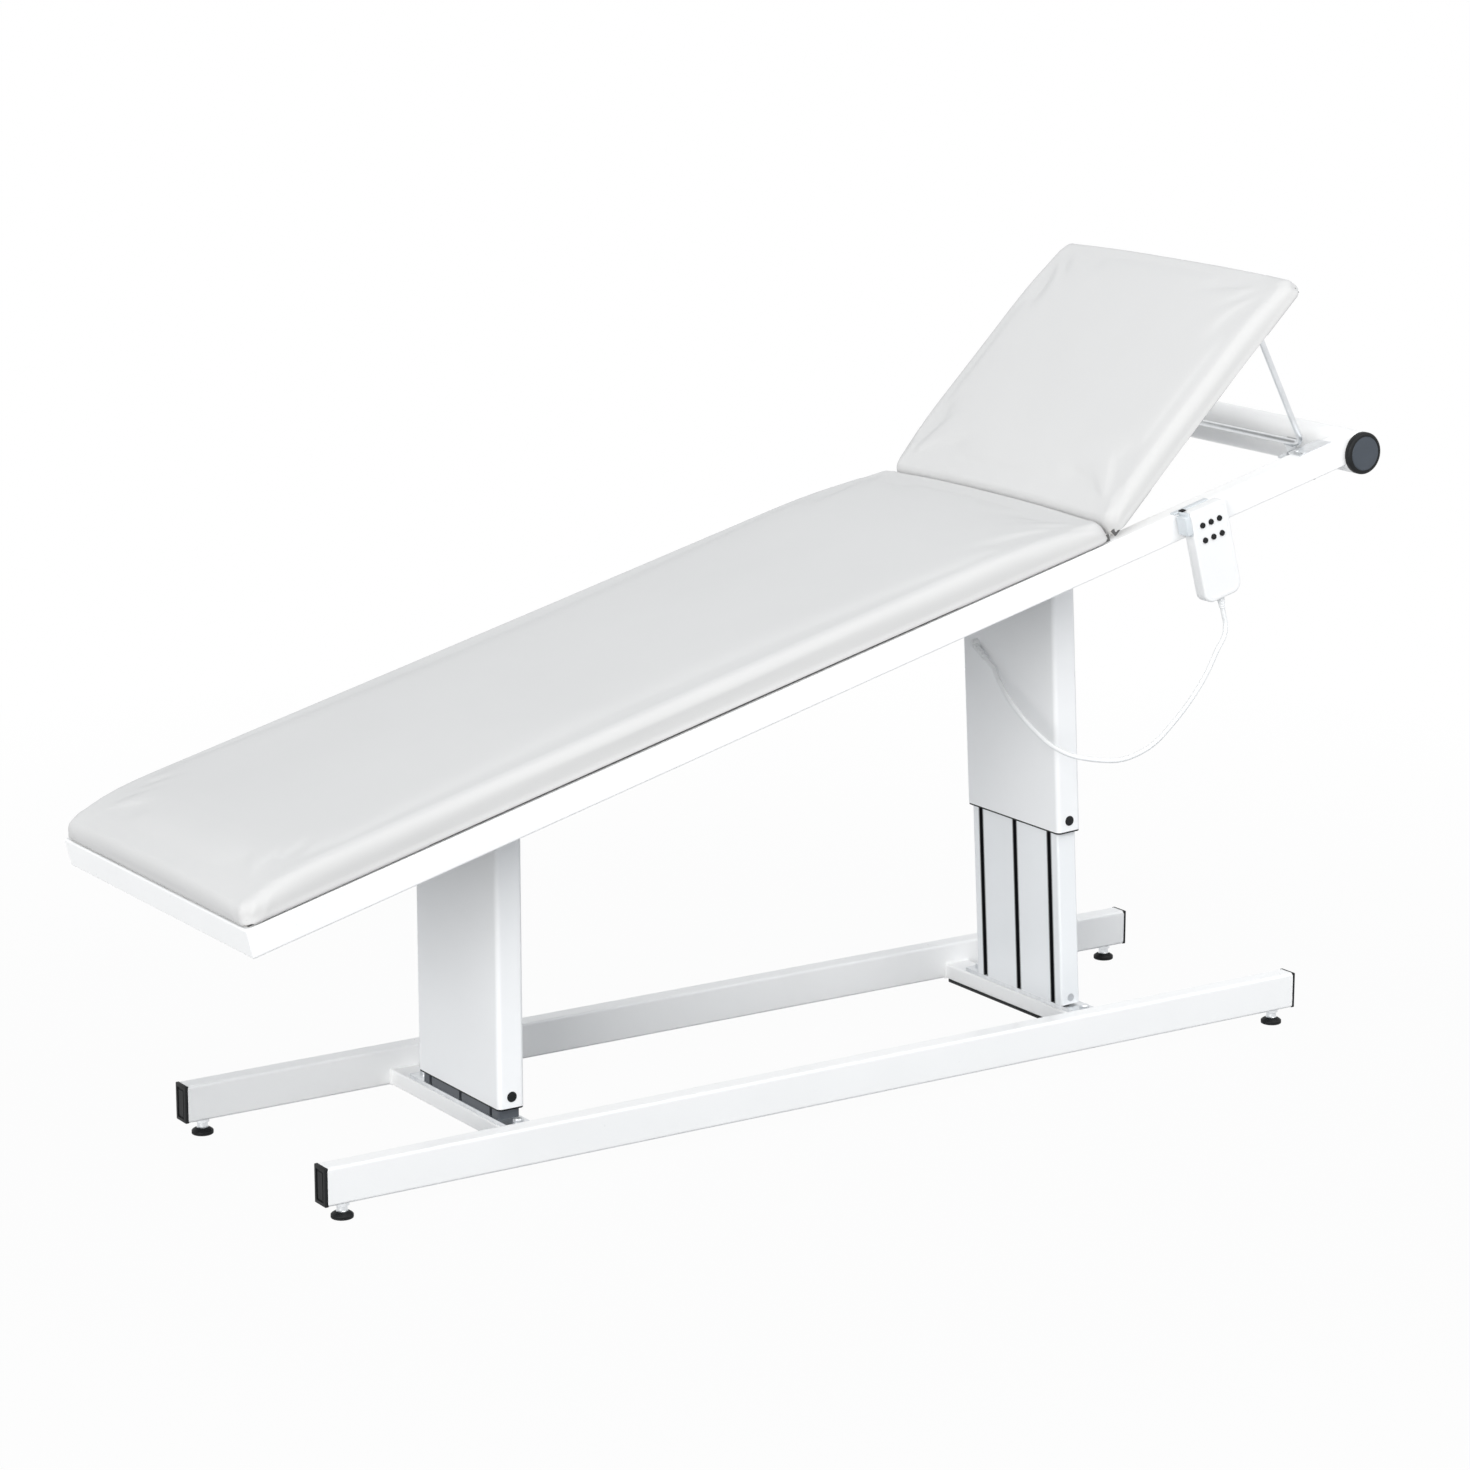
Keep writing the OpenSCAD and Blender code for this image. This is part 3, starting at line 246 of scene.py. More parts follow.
def pick(piece, kind, test):
    """Enters edit mode with the vertices, edges or faces that pass the test selected."""
    only(piece)
    bpy.ops.object.mode_set(mode="EDIT")
    bpy.ops.mesh.select_mode(type=kind)
    bpy.ops.mesh.select_all(action="DESELECT")
    bpy.ops.object.mode_set(mode="OBJECT")
    mesh = piece.data
    if kind == "VERT":
        for vertex in mesh.vertices:
            vertex.select = test(vertex.co)
    elif kind == "EDGE":
        for edge in mesh.edges:
            ends = [mesh.vertices[k].co for k in edge.vertices]
            edge.select = test(*ends)
    else:
        for face in mesh.polygons:
            face.select = test(face.center, face.normal)
    bpy.ops.object.mode_set(mode="EDIT")


def modify(piece, kind, **settings):
    """Adds a modifier and applies it."""
    only(piece)
    modifier = piece.modifiers.new(kind.lower(), kind)
    for name, value in settings.items():
        setattr(modifier, name, value)
    bpy.ops.object.modifier_apply(modifier=modifier.name)


def outwards(piece):
    """Merges doubles and turns all faces outwards."""
    only(piece)
    bpy.ops.object.mode_set(mode="EDIT")
    bpy.ops.mesh.select_all(action="SELECT")
    bpy.ops.mesh.remove_doubles(threshold=0.00001)
    bpy.ops.mesh.normals_make_consistent(inside=False)
    bpy.ops.object.mode_set(mode="OBJECT")


def joined(name, pieces):
    """Joins pieces into one."""
    deselect()
    for piece in pieces:
        piece.select_set(True)
    bpy.context.view_layer.objects.active = pieces[0]
    if len(pieces) > 1:
        bpy.ops.object.join()
    pieces[0].name = name
    return pieces[0]


def turned(name, steps, sides=0):
    """A closed piece turned on the Z axis through (radius, height) steps in millimetres."""
    sides = sides or bpy.context.scene.table_sizes.round_sides
    radius, height = steps[0]
    deselect()
    bpy.ops.mesh.primitive_circle_add(
        vertices=sides, radius=radius * MM, fill_type="NGON", location=(0, 0, height * MM))
    piece = bpy.context.object
    piece.name = name
    settle(piece)
    bpy.ops.object.mode_set(mode="EDIT")
    bpy.ops.mesh.select_all(action="SELECT")
    for before, after in zip(steps, steps[1:]):
        rise = (0, 0, (after[1] - before[1]) * MM)
        share = after[0] / before[0]
        bpy.ops.mesh.extrude_region_move(TRANSFORM_OT_translate={"value": rise})
        bpy.ops.transform.resize(
            value=(share, share, 1), center_override=(0, 0, after[1] * MM))
    bpy.ops.mesh.select_all(action="SELECT")
    bpy.ops.mesh.normals_make_consistent(inside=False)
    smooth(piece)
    return piece


def block(name, low, high, ease):
    """A box between two corners in millimetres, its edges eased by a bevel."""
    deselect()
    middle = [(a + b) / 2 * MM for a, b in zip(low, high)]
    bpy.ops.mesh.primitive_cube_add(size=1, location=middle)
    piece = bpy.context.object
    piece.name = name
    piece.scale = [(b - a) * MM for a, b in zip(low, high)]
    settle(piece)
    bpy.ops.object.mode_set(mode="EDIT")
    bpy.ops.mesh.select_all(action="SELECT")
    bpy.ops.mesh.bevel(offset=ease * MM, segments=3, affect="EDGES")
    smooth(piece)
    return piece


def copy_of(node, name):
    """A new piece with its own copy of a node's mesh, its doubles merged."""
    piece = bpy.data.objects.new(name, frame["nodes"][node].data.copy())
    bpy.context.scene.collection.objects.link(piece)
    piece.data.materials.clear()
    only(piece)
    bpy.ops.mesh.customdata_custom_splitnormals_clear()
    outwards(piece)
    return piece


def eased(node, name, width):
    """A copy of a node with its sharp edges eased, by a width in millimetres."""
    piece = copy_of(node, name)
    bpy.ops.object.mode_set(mode="EDIT")
    bpy.ops.mesh.select_all(action="SELECT")
    bpy.ops.mesh.dissolve_limited(angle_limit=math.radians(1))
    bpy.ops.object.mode_set(mode="OBJECT")
    modify(piece, "BEVEL", width=width * MM, segments=2, limit_method="ANGLE",
           angle_limit=math.radians(40), use_clamp_overlap=True)
    smooth(piece)
    return piece


def aimed(start, end):
    """A place at start, in millimetres, whose Z axis runs towards end."""
    turn = (end - start).to_track_quat("Z", "Y").to_matrix().to_4x4()
    return Matrix.Translation(start * MM) @ turn


def dress(piece, body, finish, *nodes):
    """Gives a finished piece its material and body, and hides the nodes that it stands for."""
    piece.data.materials.clear()
    piece.data.materials.append(bpy.data.materials[finish])
    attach(piece, body)
    if nodes:
        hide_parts(*nodes)
    return piece


def node_of(tree, kind, **values):
    """Adds a shader node and sets what it is told."""
    made = tree.nodes.new(kind)
    for name, value in values.items():
        if name in made.inputs:
            made.inputs[name].default_value = value
        else:
            setattr(made, name, value)
    return made


def finish_of(name, colour, roughness, cloud=0.03, cloud_size=0.15, patch=0.05,
              grain_size=0.003, grain_depth=0.00003, stretch=(1, 1, 1), leather=False,
              streak=0.0, **sockets):
    """A finish: a colour that varies softly, uneven gloss and a fine relief."""
    material = bpy.data.materials.get(name) or bpy.data.materials.new(name)
    material.use_nodes = True
    tree = material.node_tree
    tree.nodes.clear()
    link = tree.links.new
    out = node_of(tree, "ShaderNodeOutputMaterial")
    shader = node_of(tree, "ShaderNodeBsdfPrincipled", name="shader")
    link(shader.outputs[0], out.inputs["Surface"])
    for socket, value in sockets.items():
        shader.inputs[socket.replace("_", " ")].default_value = value
    place = node_of(tree, "ShaderNodeTexCoord")
    mapping = node_of(tree, "ShaderNodeMapping", Scale=stretch)
    link(place.outputs["Object"], mapping.inputs["Vector"])

    clouds = node_of(tree, "ShaderNodeTexNoise", Scale=1 / cloud_size, Detail=4.0)
    link(mapping.outputs["Vector"], clouds.inputs["Vector"])
    tone = node_of(tree, "ShaderNodeMix", data_type="RGBA")
    light = [min(1, c * (1 + cloud)) for c in colour]
    dark = [c * (1 - cloud) for c in colour]
    tone.inputs[6].default_value = (*dark, 1)
    tone.inputs[7].default_value = (*light, 1)
    spread = node_of(tree, "ShaderNodeMapRange")
    spread.inputs["From Min"].default_value = 0.3
    spread.inputs["From Max"].default_value = 0.7
    link(clouds.outputs["Fac"], spread.inputs["Value"])
    link(spread.outputs["Result"], tone.inputs[0])
    link(tone.outputs[2], shader.inputs["Base Color"])

    patches = node_of(tree, "ShaderNodeTexNoise", Scale=0.4 / grain_size, Detail=2.0)
    link(mapping.outputs["Vector"], patches.inputs["Vector"])
    gloss = node_of(tree, "ShaderNodeMapRange")
    gloss.inputs["To Min"].default_value = max(0.02, roughness - patch)
    gloss.inputs["To Max"].default_value = min(1, roughness + patch)
    link(patches.outputs["Fac"], gloss.inputs["Value"])
    link(gloss.outputs["Result"], shader.inputs["Roughness"])

    if leather:
        grain = node_of(tree, "ShaderNodeTexVoronoi", feature="DISTANCE_TO_EDGE",
                        Scale=1 / grain_size)
        height = grain.outputs["Distance"]
    else:
        grain = node_of(tree, "ShaderNodeTexNoise", Scale=1 / grain_size, Detail=3.0)
        height = grain.outputs["Fac"]
    link(mapping.outputs["Vector"], grain.inputs["Vector"])
    relief = node_of(tree, "ShaderNodeBump", Strength=1.0, Distance=grain_depth)
    link(height, relief.inputs["Height"])
    last = relief
    if streak:
        waves = node_of(tree, "ShaderNodeTexNoise", Scale=9.0, Detail=2.0)
        link(place.outputs["Object"], waves.inputs["Vector"])
        last = node_of(tree, "ShaderNodeBump", Strength=1.0, Distance=streak)
        link(waves.outputs["Fac"], last.inputs["Height"])
        link(relief.outputs["Normal"], last.inputs["Normal"])
    link(last.outputs["Normal"], shader.inputs["Normal"])
    return material


def local_points(mesh):
    """The mesh's vertices as rows of numbers."""
    points = np.zeros(len(mesh.vertices) * 3, np.float32)
    mesh.vertices.foreach_get("co", points)
    return points.reshape(-1, 3).astype(float)


def set_points(mesh, points):
    """Puts the vertices back."""
    mesh.vertices.foreach_set("co", points.astype(np.float32).ravel())
    mesh.update()


def normals_of(mesh):
    """The normal at each vertex."""
    normals = np.zeros(len(mesh.vertices) * 3, np.float32)
    mesh.vertices.foreach_get("normal", normals)
    return normals.reshape(-1, 3).astype(float)


def ramp(values, low, high):
    """0 below low, 1 above high, and smooth between."""
    share = np.clip((values - low) / (high - low), 0, 1)
    return share * share * (3 - 2 * share)


def line_distance(points, line):
    """Distance of each point from a line of several stretches, in metres, and the share along it."""
    nearest = np.full(len(points), 1e9)
    share = np.zeros(len(points))
    for k, (a, b) in enumerate(zip(line, line[1:])):
        a, b = np.array(a) * MM, np.array(b) * MM
        along = b - a
        t = np.clip(((points - a) @ along) / (along @ along), 0, 1)
        d = np.linalg.norm(points - a - t[:, None] * along, axis=1)
        closer = d < nearest
        nearest[closer] = d[closer]
        share[closer] = (k + t[closer]) / (len(line) - 1)
    return nearest, share


def tuck(mesh, line, width, depth, ridge=0.4):
    """Presses a crease into a cushion along a line in millimetres, with a soft ridge beside it."""
    points = local_points(mesh)
    normals = normals_of(mesh)
    distance, share = line_distance(points, line)
    fade = np.sin(np.pi * np.clip(share * 0.9 + 0.05, 0, 1)) ** 0.6
    groove = np.clip(1 - distance / (width * MM), 0, 1) ** 2
    side = np.exp(-((distance / (width * MM) - 1.6) / 0.6) ** 2)
    points += normals * ((side * ridge - groove) * fade * depth * MM)[:, None]
    set_points(mesh, points)


def stuff(piece):
    """Lets the stuffing push the cover out, and keeps it near its own form."""
    sizes = bpy.context.scene.table_sizes
    low = COVER_LOW
    mesh = piece.data
    start = local_points(mesh)
    held = piece.vertex_groups.new(name="held")
    bottom = np.nonzero(start[:, 2] < low + 0.0045)[0]
    held.add([int(k) for k in bottom], 1, "REPLACE")
    free = ramp(start[:, 2], low + 0.003, low + 0.014)[:, None]
    normals = normals_of(mesh)
    start = start - normals * sizes.cover_slack * free
    set_points(mesh, start)
    only(piece)
    cloth = piece.modifiers.new("stuffing", "CLOTH")
    settings = cloth.settings
    settings.quality = 4
    settings.mass = 0.3
    settings.tension_stiffness = 15
    settings.compression_stiffness = 15
    settings.shear_stiffness = 5
    settings.bending_stiffness = 2
    settings.use_pressure = True
    settings.uniform_pressure_force = sizes.cover_pressure
    settings.effector_weights.gravity = 0
    settings.vertex_group_mass = held.name
    cloth.point_cache.frame_start = 1
    cloth.point_cache.frame_end = STUFFING_STEPS
    for step in range(1, STUFFING_STEPS + 1):
        bpy.context.scene.frame_set(step)
    bpy.ops.object.modifier_apply(modifier=cloth.name)
    bpy.context.scene.frame_set(1)
    moved = local_points(mesh) - start
    sunk = sizes.cover_hold * free[:, 0] - (moved * normals).sum(axis=1)
    moved += normals * np.maximum(sunk, 0)[:, None]
    length = np.linalg.norm(moved, axis=1)
    share = np.minimum(1, sizes.cover_rise / np.maximum(length, 1e-9))
    set_points(mesh, start + moved * share[:, None])
    piece.vertex_groups.clear()


def cushion(node, name, place, pocket, tucks):
    """A stuffed cushion from a node's form: remeshed, stuffed, subdivided and creased.

    The board's pocket, whose ends are in millimetres, is filled before the remesh and
    opened again after it. The rim under the cushion then ends fuller and a little lower,
    so that it covers the board's side.
    """
    low = COVER_LOW
    sizes = bpy.context.scene.table_sizes
    piece = copy_of(node, name)
    piece.data.transform(place.inverted())
    mesh = piece.data
    points = local_points(mesh)
    ceiling = (abs(points[:, 2] - BOARD_TOP) < 0.00005) & (abs(points[:, 1]) < BOARD_SIDE)
    points[ceiling, 2] = low
    set_points(mesh, points)
    modify(piece, "REMESH", mode="VOXEL", voxel_size=sizes.weave_voxel)
    stuff(piece)
    modify(piece, "SMOOTH", factor=0.5, iterations=2)
    modify(piece, "SUBSURF", levels=1, render_levels=1)
    for line, width, depth in tucks:
        tuck(piece.data, line, width, depth)
    mesh = piece.data
    points = local_points(mesh)
    inside = (points[:, 2] < low + 0.0025) & (abs(points[:, 1]) < BOARD_SIDE + 0.002)
    inside &= (points[:, 0] > pocket[0] * MM) & (points[:, 0] < pocket[1] * MM)
    points[inside, 2] = BOARD_TOP + 0.0002
    rim = ~inside
    sideways = normals_of(mesh)[:, :2]
    sideways /= np.maximum(np.linalg.norm(sideways, axis=1), 1e-6)[:, None]
    fuller = 0.003 * (1 - ramp(points[:, 2], low, low + 0.010)) * rim
    points[:, :2] += sideways * fuller[:, None]
    points[rim, 2] -= 0.0018 * (1 - ramp(points[rim, 2], low, low + 0.012))
    points[rim, 2] = np.maximum(points[rim, 2], low - 0.0018)
    set_points(mesh, points)
    mesh.transform(place)
    smooth(piece, 60)
    return piece


def curve_points(knots, each=12):
    """A smooth line through the knots."""
    made = []
    ends = [knots[0] * 2 - knots[1], *knots, knots[-1] * 2 - knots[-2]]
    for a, b, c, d in zip(ends, ends[1:], ends[2:], ends[3:]):
        for k in range(each):
            t = k / each
            made.append(0.5 * (
                2 * b + (c - a) * t + (2 * a - 5 * b + 4 * c - d) * t ** 2
                + (3 * b - a - 3 * c + d) * t ** 3))
    return [*made, knots[-1]]


class TABLE_OT_stage(bpy.types.Operator):
    """Camera, floor and soft light."""

    bl_idname = "table.stage"
    bl_label = "Stage"

    def execute(self, context):
        settings = context.scene.table_stage
        context.scene.view_settings.view_transform = "Standard"
        deselect()
        across = math.cos(settings.pitch)
        ahead = Vector((
            across * math.cos(settings.azimuth), across * math.sin(settings.azimuth),
            -math.sin(settings.pitch)))
        bpy.ops.object.camera_add(location=CAMERA_PLACE)
        camera = context.object
        camera.rotation_euler = ahead.to_track_quat("-Z", "Y").to_euler()
        camera.data.sensor_width = 36
        camera.data.lens = settings.lens
        camera.data.shift_x, camera.data.shift_y = CAMERA_SHIFT
        camera.data.clip_end = 500
        context.scene.camera = camera

        lamps = (
            ("key_light", (-0.1, 0.6, -0.79), settings.key_strength, 50),
            ("side_light", (0.80, 0.55, -0.24), settings.side_strength, 40),
        )
        for name, towards, strength, angle in lamps:
            deselect()
            bpy.ops.object.light_add(type="SUN", location=Vector(towards) * -4)
            lamp = context.object
            lamp.name = name
            turn = Vector(towards).to_track_quat("-Z", "Y")
            lamp.rotation_euler = turn.to_euler()
            lamp.data.energy = strength
            lamp.data.angle = math.radians(angle)
            lamp.data.color = LAMP_COLOUR

        self.room(context, settings)
        self.floor(context)
        return {"FINISHED"}

    def seen(self, tree):
        """1 for what the camera, a reflection or a clear piece sees, else 0."""
        path = node_of(tree, "ShaderNodeLightPath")
        first = node_of(tree, "ShaderNodeMath", operation="MAXIMUM")
        second = node_of(tree, "ShaderNodeMath", operation="MAXIMUM")
        tree.links.new(path.outputs["Is Camera Ray"], first.inputs[0])
        tree.links.new(path.outputs["Is Glossy Ray"], first.inputs[1])
        tree.links.new(first.outputs[0], second.inputs[0])
        tree.links.new(path.outputs["Is Transmission Ray"], second.inputs[1])
        return second.outputs[0]

    def room(self, context, settings):
        """White where it is seen, and a plain grey light elsewhere."""
        world = bpy.data.worlds.new("room")
        context.scene.world = world
        world.use_nodes = True
        tree = world.node_tree
        tree.nodes.clear()
        out = node_of(tree, "ShaderNodeOutputWorld")
        mix = node_of(tree, "ShaderNodeMixShader")
        dim = node_of(tree, "ShaderNodeBackground", Strength=settings.fill_strength)
        white = node_of(tree, "ShaderNodeBackground", Strength=1.0)
        dim.inputs["Color"].default_value = (0.91, 0.955, 1, 1)
        white.inputs["Color"].default_value = (1, 1, 1, 1)
        tree.links.new(self.seen(tree), mix.inputs[0])
        tree.links.new(dim.outputs[0], mix.inputs[1])
        tree.links.new(white.outputs[0], mix.inputs[2])
        tree.links.new(mix.outputs[0], out.inputs["Surface"])

    def floor(self, context):
        """A floor that looks pale to the camera and in reflections, and keeps the table's shadow. For
        bounce light it is painted dark grey-blue near the table, as painted shade under it, and fades
        to a white glow further out.
        """
        deselect()
        bpy.ops.mesh.primitive_plane_add(size=FLOOR_SIZE, location=(0, 0, 0))
        floor = context.object
        floor.name = "floor"
        material = bpy.data.materials.new("pale_floor")
        material.use_nodes = True
        tree = material.node_tree
        tree.nodes.clear()
        link = tree.links.new
        out = node_of(tree, "ShaderNodeOutputMaterial")
        diffuse = node_of(tree, "ShaderNodeBsdfDiffuse", Roughness=0.0)
        # Dark grey-blue, seen by bounce light near the table: painted shade under the table
        diffuse.inputs["Color"].default_value = (0.22, 0.235, 0.25, 1)
        glow = node_of(tree, "ShaderNodeEmission", Strength=1.0)
        mix = node_of(tree, "ShaderNodeMixShader")
        place = node_of(tree, "ShaderNodeTexCoord")
        length = node_of(tree, "ShaderNodeVectorMath", operation="LENGTH")
        share = node_of(tree, "ShaderNodeMix")
        link(place.outputs["Object"], length.inputs[0])
        for socket, start, end in ((2, 0.0, 0.9), (3, 0.97, 1.0)):
            fade = node_of(tree, "ShaderNodeMapRange")
            fade.inputs["From Min"].default_value = FADE_START
            fade.inputs["From Max"].default_value = FADE_END
            fade.inputs["To Min"].default_value = start
            fade.inputs["To Max"].default_value = end
            link(length.outputs["Value"], fade.inputs["Value"])
            link(fade.outputs["Result"], share.inputs[socket])
        link(self.seen(tree), share.inputs[0])
        link(share.outputs[0], mix.inputs[0])
        link(diffuse.outputs[0], mix.inputs[1])
        link(glow.outputs[0], mix.inputs[2])
        link(mix.outputs[0], out.inputs["Surface"])
        floor.data.materials.append(material)


class TABLE_OT_finishes(bpy.types.Operator):
    """Materials, and the finish of each node of the frame that stays."""

    bl_idname = "table.finishes"
    bl_label = "Finishes"

    def execute(self, context):
        colours = context.scene.table_colours
        finish_of("painted_white", colours.paint, 0.3, cloud=0.015, grain_size=0.0028,
                  grain_depth=0.00002, Coat_Weight=0.25, Coat_Roughness=0.12)
        finish_of("casing_grey", colours.casing, 0.42, cloud=0.02, grain_size=0.0016,
                  grain_depth=0.00002)
        anodised = finish_of(
            "anodised", (0.88, 0.90, 0.92), 0.38, cloud=0.02, stretch=(1, 1, 0.02),
            grain_size=0.001, grain_depth=0.00001, Metallic=0.15)
        # Painted shade in the profile's grooves: near-black in them, fading out over the face beside
        # them
        self.paint_shade_lines(anodised, (-0.085, 0, 0.085), 0.0036, 0.0075, (0.008, 0.009, 0.011))
        # Dark finish for the foot column's profile under its casing: painted shade, where the casing
        # shadows it
        finish_of("dark_profile", (0.09, 0.1, 0.115), 0.45, cloud=0.06, grain_size=0.001,
                  Metallic=0.3)
        finish_of("zinc", (0.72, 0.74, 0.76), 0.36, cloud=0.08, cloud_size=0.01,
                  grain_size=0.002, Metallic=1.0)
        finish_of("bronze", (0.46, 0.28, 0.12), 0.35, cloud=0.1, Metallic=1.0)
        finish_of("bright_steel", (0.74, 0.76, 0.78), 0.3, cloud=0.05, cloud_size=0.02,
                  grain_size=0.0015, grain_depth=0.000008, Metallic=1.0)
        finish_of("drive_black", (0.02, 0.021, 0.023), 0.5, grain_size=0.0012)
        finish_of("black_plastic", colours.plastic, 0.55, cloud=0.12, cloud_size=0.02,
                  grain_size=0.0007, grain_depth=0.00002, Specular_IOR_Level=0.25)
        finish_of("cap_grey", colours.tube_cap, 0.45, cloud=0.05, cloud_size=0.02,
                  grain_size=0.0007, grain_depth=0.00002, Specular_IOR_Level=0.35)
        finish_of("cord_grey", (0.86, 0.87, 0.88), 0.45, cloud=0.04, cloud_size=0.03,
                  grain_size=0.0009, grain_depth=0.00002)
        board = finish_of(
            "plywood", (0.66, 0.645, 0.62), 0.62, cloud=0.06, cloud_size=0.05,
            stretch=(0.08, 1, 1), grain_size=0.002, grain_depth=0.0001)
        # Painted shade along the board's sides, for the dark slit between the cushions and the rails
        self.paint_shade_lines(board, (-0.267, 0.267), 0.0035, 0.0045, (0.1, 0.1, 0.1))
        finish_of("pad_vinyl", colours.vinyl, 0.62, cloud=0.012, cloud_size=0.3, patch=0.06,
                  grain_size=0.0013, grain_depth=0.00008, leather=True, streak=0.0012,
                  Specular_IOR_Level=0.18)
        finish_of("handset_white", colours.handset, 0.4, cloud=0.015, grain_size=0.0008,
                  grain_depth=0.00002)
        finish_of("holder_grey", (0.66, 0.70, 0.73), 0.45, cloud=0.05, grain_size=0.001)
        for part in frame["record"]["subparts"]:
            node = frame["nodes"][part["node"]]
            finish = bpy.data.materials[part["material_slot"]]
            if not node.material_slots:
                node.data.materials.append(finish)
            # The foot column's profile is darkened all over, as painted shade under its casing
            if part["node"] == "foot_column_profile":
                finish = bpy.data.materials["dark_profile"]
            for slot in node.material_slots:
                slot.material = finish
        return {"FINISHED"}

    def paint_shade_lines(self, material, middles, near, far, shade):
        """Paints shade into a finish along lines across the table: a dark band at each line that
        fades out, as painted shade in grooves and along edges.
        """
        tree = material.node_tree
        link = tree.links.new
        shader = tree.nodes["shader"]
        tone = shader.inputs["Base Color"].links[0].from_socket
        place = node_of(tree, "ShaderNodeTexCoord")
        split = node_of(tree, "ShaderNodeSeparateXYZ")
        link(place.outputs["Object"], split.inputs[0])
        nearest = None
        for middle in middles:
            shift = node_of(tree, "ShaderNodeMath", operation="SUBTRACT")
            shift.inputs[1].default_value = middle
            away = node_of(tree, "ShaderNodeMath", operation="ABSOLUTE")
            link(split.outputs["Y"], shift.inputs[0])
            link(shift.outputs[0], away.inputs[0])
            if nearest is None:
                nearest = away
                continue
            least = node_of(tree, "ShaderNodeMath", operation="MINIMUM")
            link(nearest.outputs[0], least.inputs[0])
            link(away.outputs[0], least.inputs[1])
            nearest = least
        share = node_of(tree, "ShaderNodeMapRange", interpolation_type="SMOOTHSTEP")
        share.inputs["From Min"].default_value = near
        share.inputs["From Max"].default_value = far
        link(nearest.outputs[0], share.inputs["Value"])
        dark = node_of(tree, "ShaderNodeMix", data_type="RGBA")
        dark.inputs[6].default_value = (*shade, 1)
        link(share.outputs["Result"], dark.inputs[0])
        link(tone, dark.inputs[7])
        link(dark.outputs[2], shader.inputs["Base Color"])


class TABLE_OT_cord(bpy.types.Operator):
    """The handset's cord with its strain relief and gland."""

    bl_idname = "table.cord"
    bl_label = "Cord"

    def execute(self, context):
        diameter = context.scene.table_sizes.cord_diameter
        knots = [CORD_START, *(CORD_START + Vector(p) for p in CORD_HANG), CORD_END]
        route = [p * MM for p in curve_points(knots)]
        line = bpy.data.curves.new("handset_cord_tube", "CURVE")
        line.dimensions = "3D"
        line.bevel_depth = diameter / 2
        line.bevel_resolution = 5
        line.use_fill_caps = True
        spline = line.splines.new("POLY")
        spline.points.add(len(route) - 1)
        for point, place in zip(spline.points, route):
            point.co = (*place, 1)
        cord = bpy.data.objects.new("handset_cord_tube", line)
        context.scene.collection.objects.link(cord)
        only(cord)
        bpy.ops.object.convert(target="MESH")
        cord = context.object
        outwards(cord)
        smooth(cord, 60)
        cord.data.materials.clear()
        cord.data.materials.append(bpy.data.materials["cord_grey"])
        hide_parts("handset_cord")
        relief = self.relief()
        gland = self.gland()
        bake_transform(cord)
        return {"FINISHED"}

    def ribs(self, radius, tip, length, count):
        """Steps of a tapered sleeve with flexing ribs."""
        steps = [(radius, 0)]
        pitch = (length - 3) / count
        for k in range(count):
            low = 1.5 + k * pitch
            r = radius + (tip - radius) * (k + 0.5) / count
            steps += [(r, low), (r, low + pitch * 0.5), (r - 0.75, low + pitch * 0.62),
                      (r - 0.75, low + pitch * 0.88)]
        return [*steps, (tip, length - 1.2), (tip, length - 0.4), (tip - 0.6, length)]

    def relief(self):
        """Tapered, ribbed strain relief under the handset."""
        sizes = bpy.context.scene.table_sizes
        piece = turned("cord_relief", self.ribs(6.0, 4.5, 17.9, 4), 32)
        put(piece, HANDSET @ at(0, -sizes.handset_height, 0.011) @ about("X", 90))
        return dress(piece, "top_frame", "cord_grey", "strain_relief")

    def gland(self):
        """Boss on the column with a ribbed spout."""
        lean = math.radians(HEAD_LEAN)
        outside = GLAND_FACE - Vector((math.cos(lean), 0, math.sin(lean)))
        boss = turned("gland_boss", (
            (7.5, 0), (7.5, 2.4), (7.1, 2.9), (6.5, 3.2), (6.5, 4), (6.9, 4.4), (6.6, 8),
            (5.8, 9)), 32)
        put(boss, aimed(GLAND_FACE, outside))
        start = GLAND_FACE - Vector((6.5, 0, 0))
        reach = (CORD_END - start).length - 0.5
        spout = turned("gland_spout", self.ribs(5.5, 4.5, reach, 6), 32)
        put(spout, aimed(start, CORD_END))
        piece = joined("cord_entry", [boss, spout])
        return dress(piece, "head_column", "cord_grey", "cord_gland")


class TABLE_OT_cushions(bpy.types.Operator):
    """Both stuffed cushions."""

    bl_idname = "table.cushions"
    bl_label = "Cushions"

    def execute(self, context):
        leg_tucks = []
        for side in (-1, 1):
            leg_tucks += [
                (((3, side * 271, 4), (8, side * 268, 14), (22, side * 258, 24)), 7, 2.6),
                (((12, side * 273, 5), (24, side * 269, 17), (44, side * 262, 27)), 6, 1.2),
                (((1425, side * 270, 20), (1400, side * 266, 30), (1370, side * 258, 36)), 7, 1.3),
                (((1428, side * 255, 30), (1405, side * 246, 39)), 6, 1.0),
            ]
        leg = cushion("leg_cushion", "leg_cushion_cover", TOP, (6, 1429.5), leg_tucks)
        dress(leg, "top_frame", "pad_vinyl", "leg_cushion")
        back_tucks = []
        for side in (-1, 1):
            back_tucks += [
                (((8, side * 268, 18), (34, side * 262, 27), (70, side * 254, 32)), 7, 1.3),
                (((470, side * 270, 4), (465, side * 266, 14), (452, side * 256, 24)), 7, 2.2),
            ]
        back = cushion(
            "backrest_cushion", "backrest_cushion_cover", BACK, (4, 468), back_tucks)
        dress(back, "backrest", "pad_vinyl", "backrest_cushion")
        return {"FINISHED"}


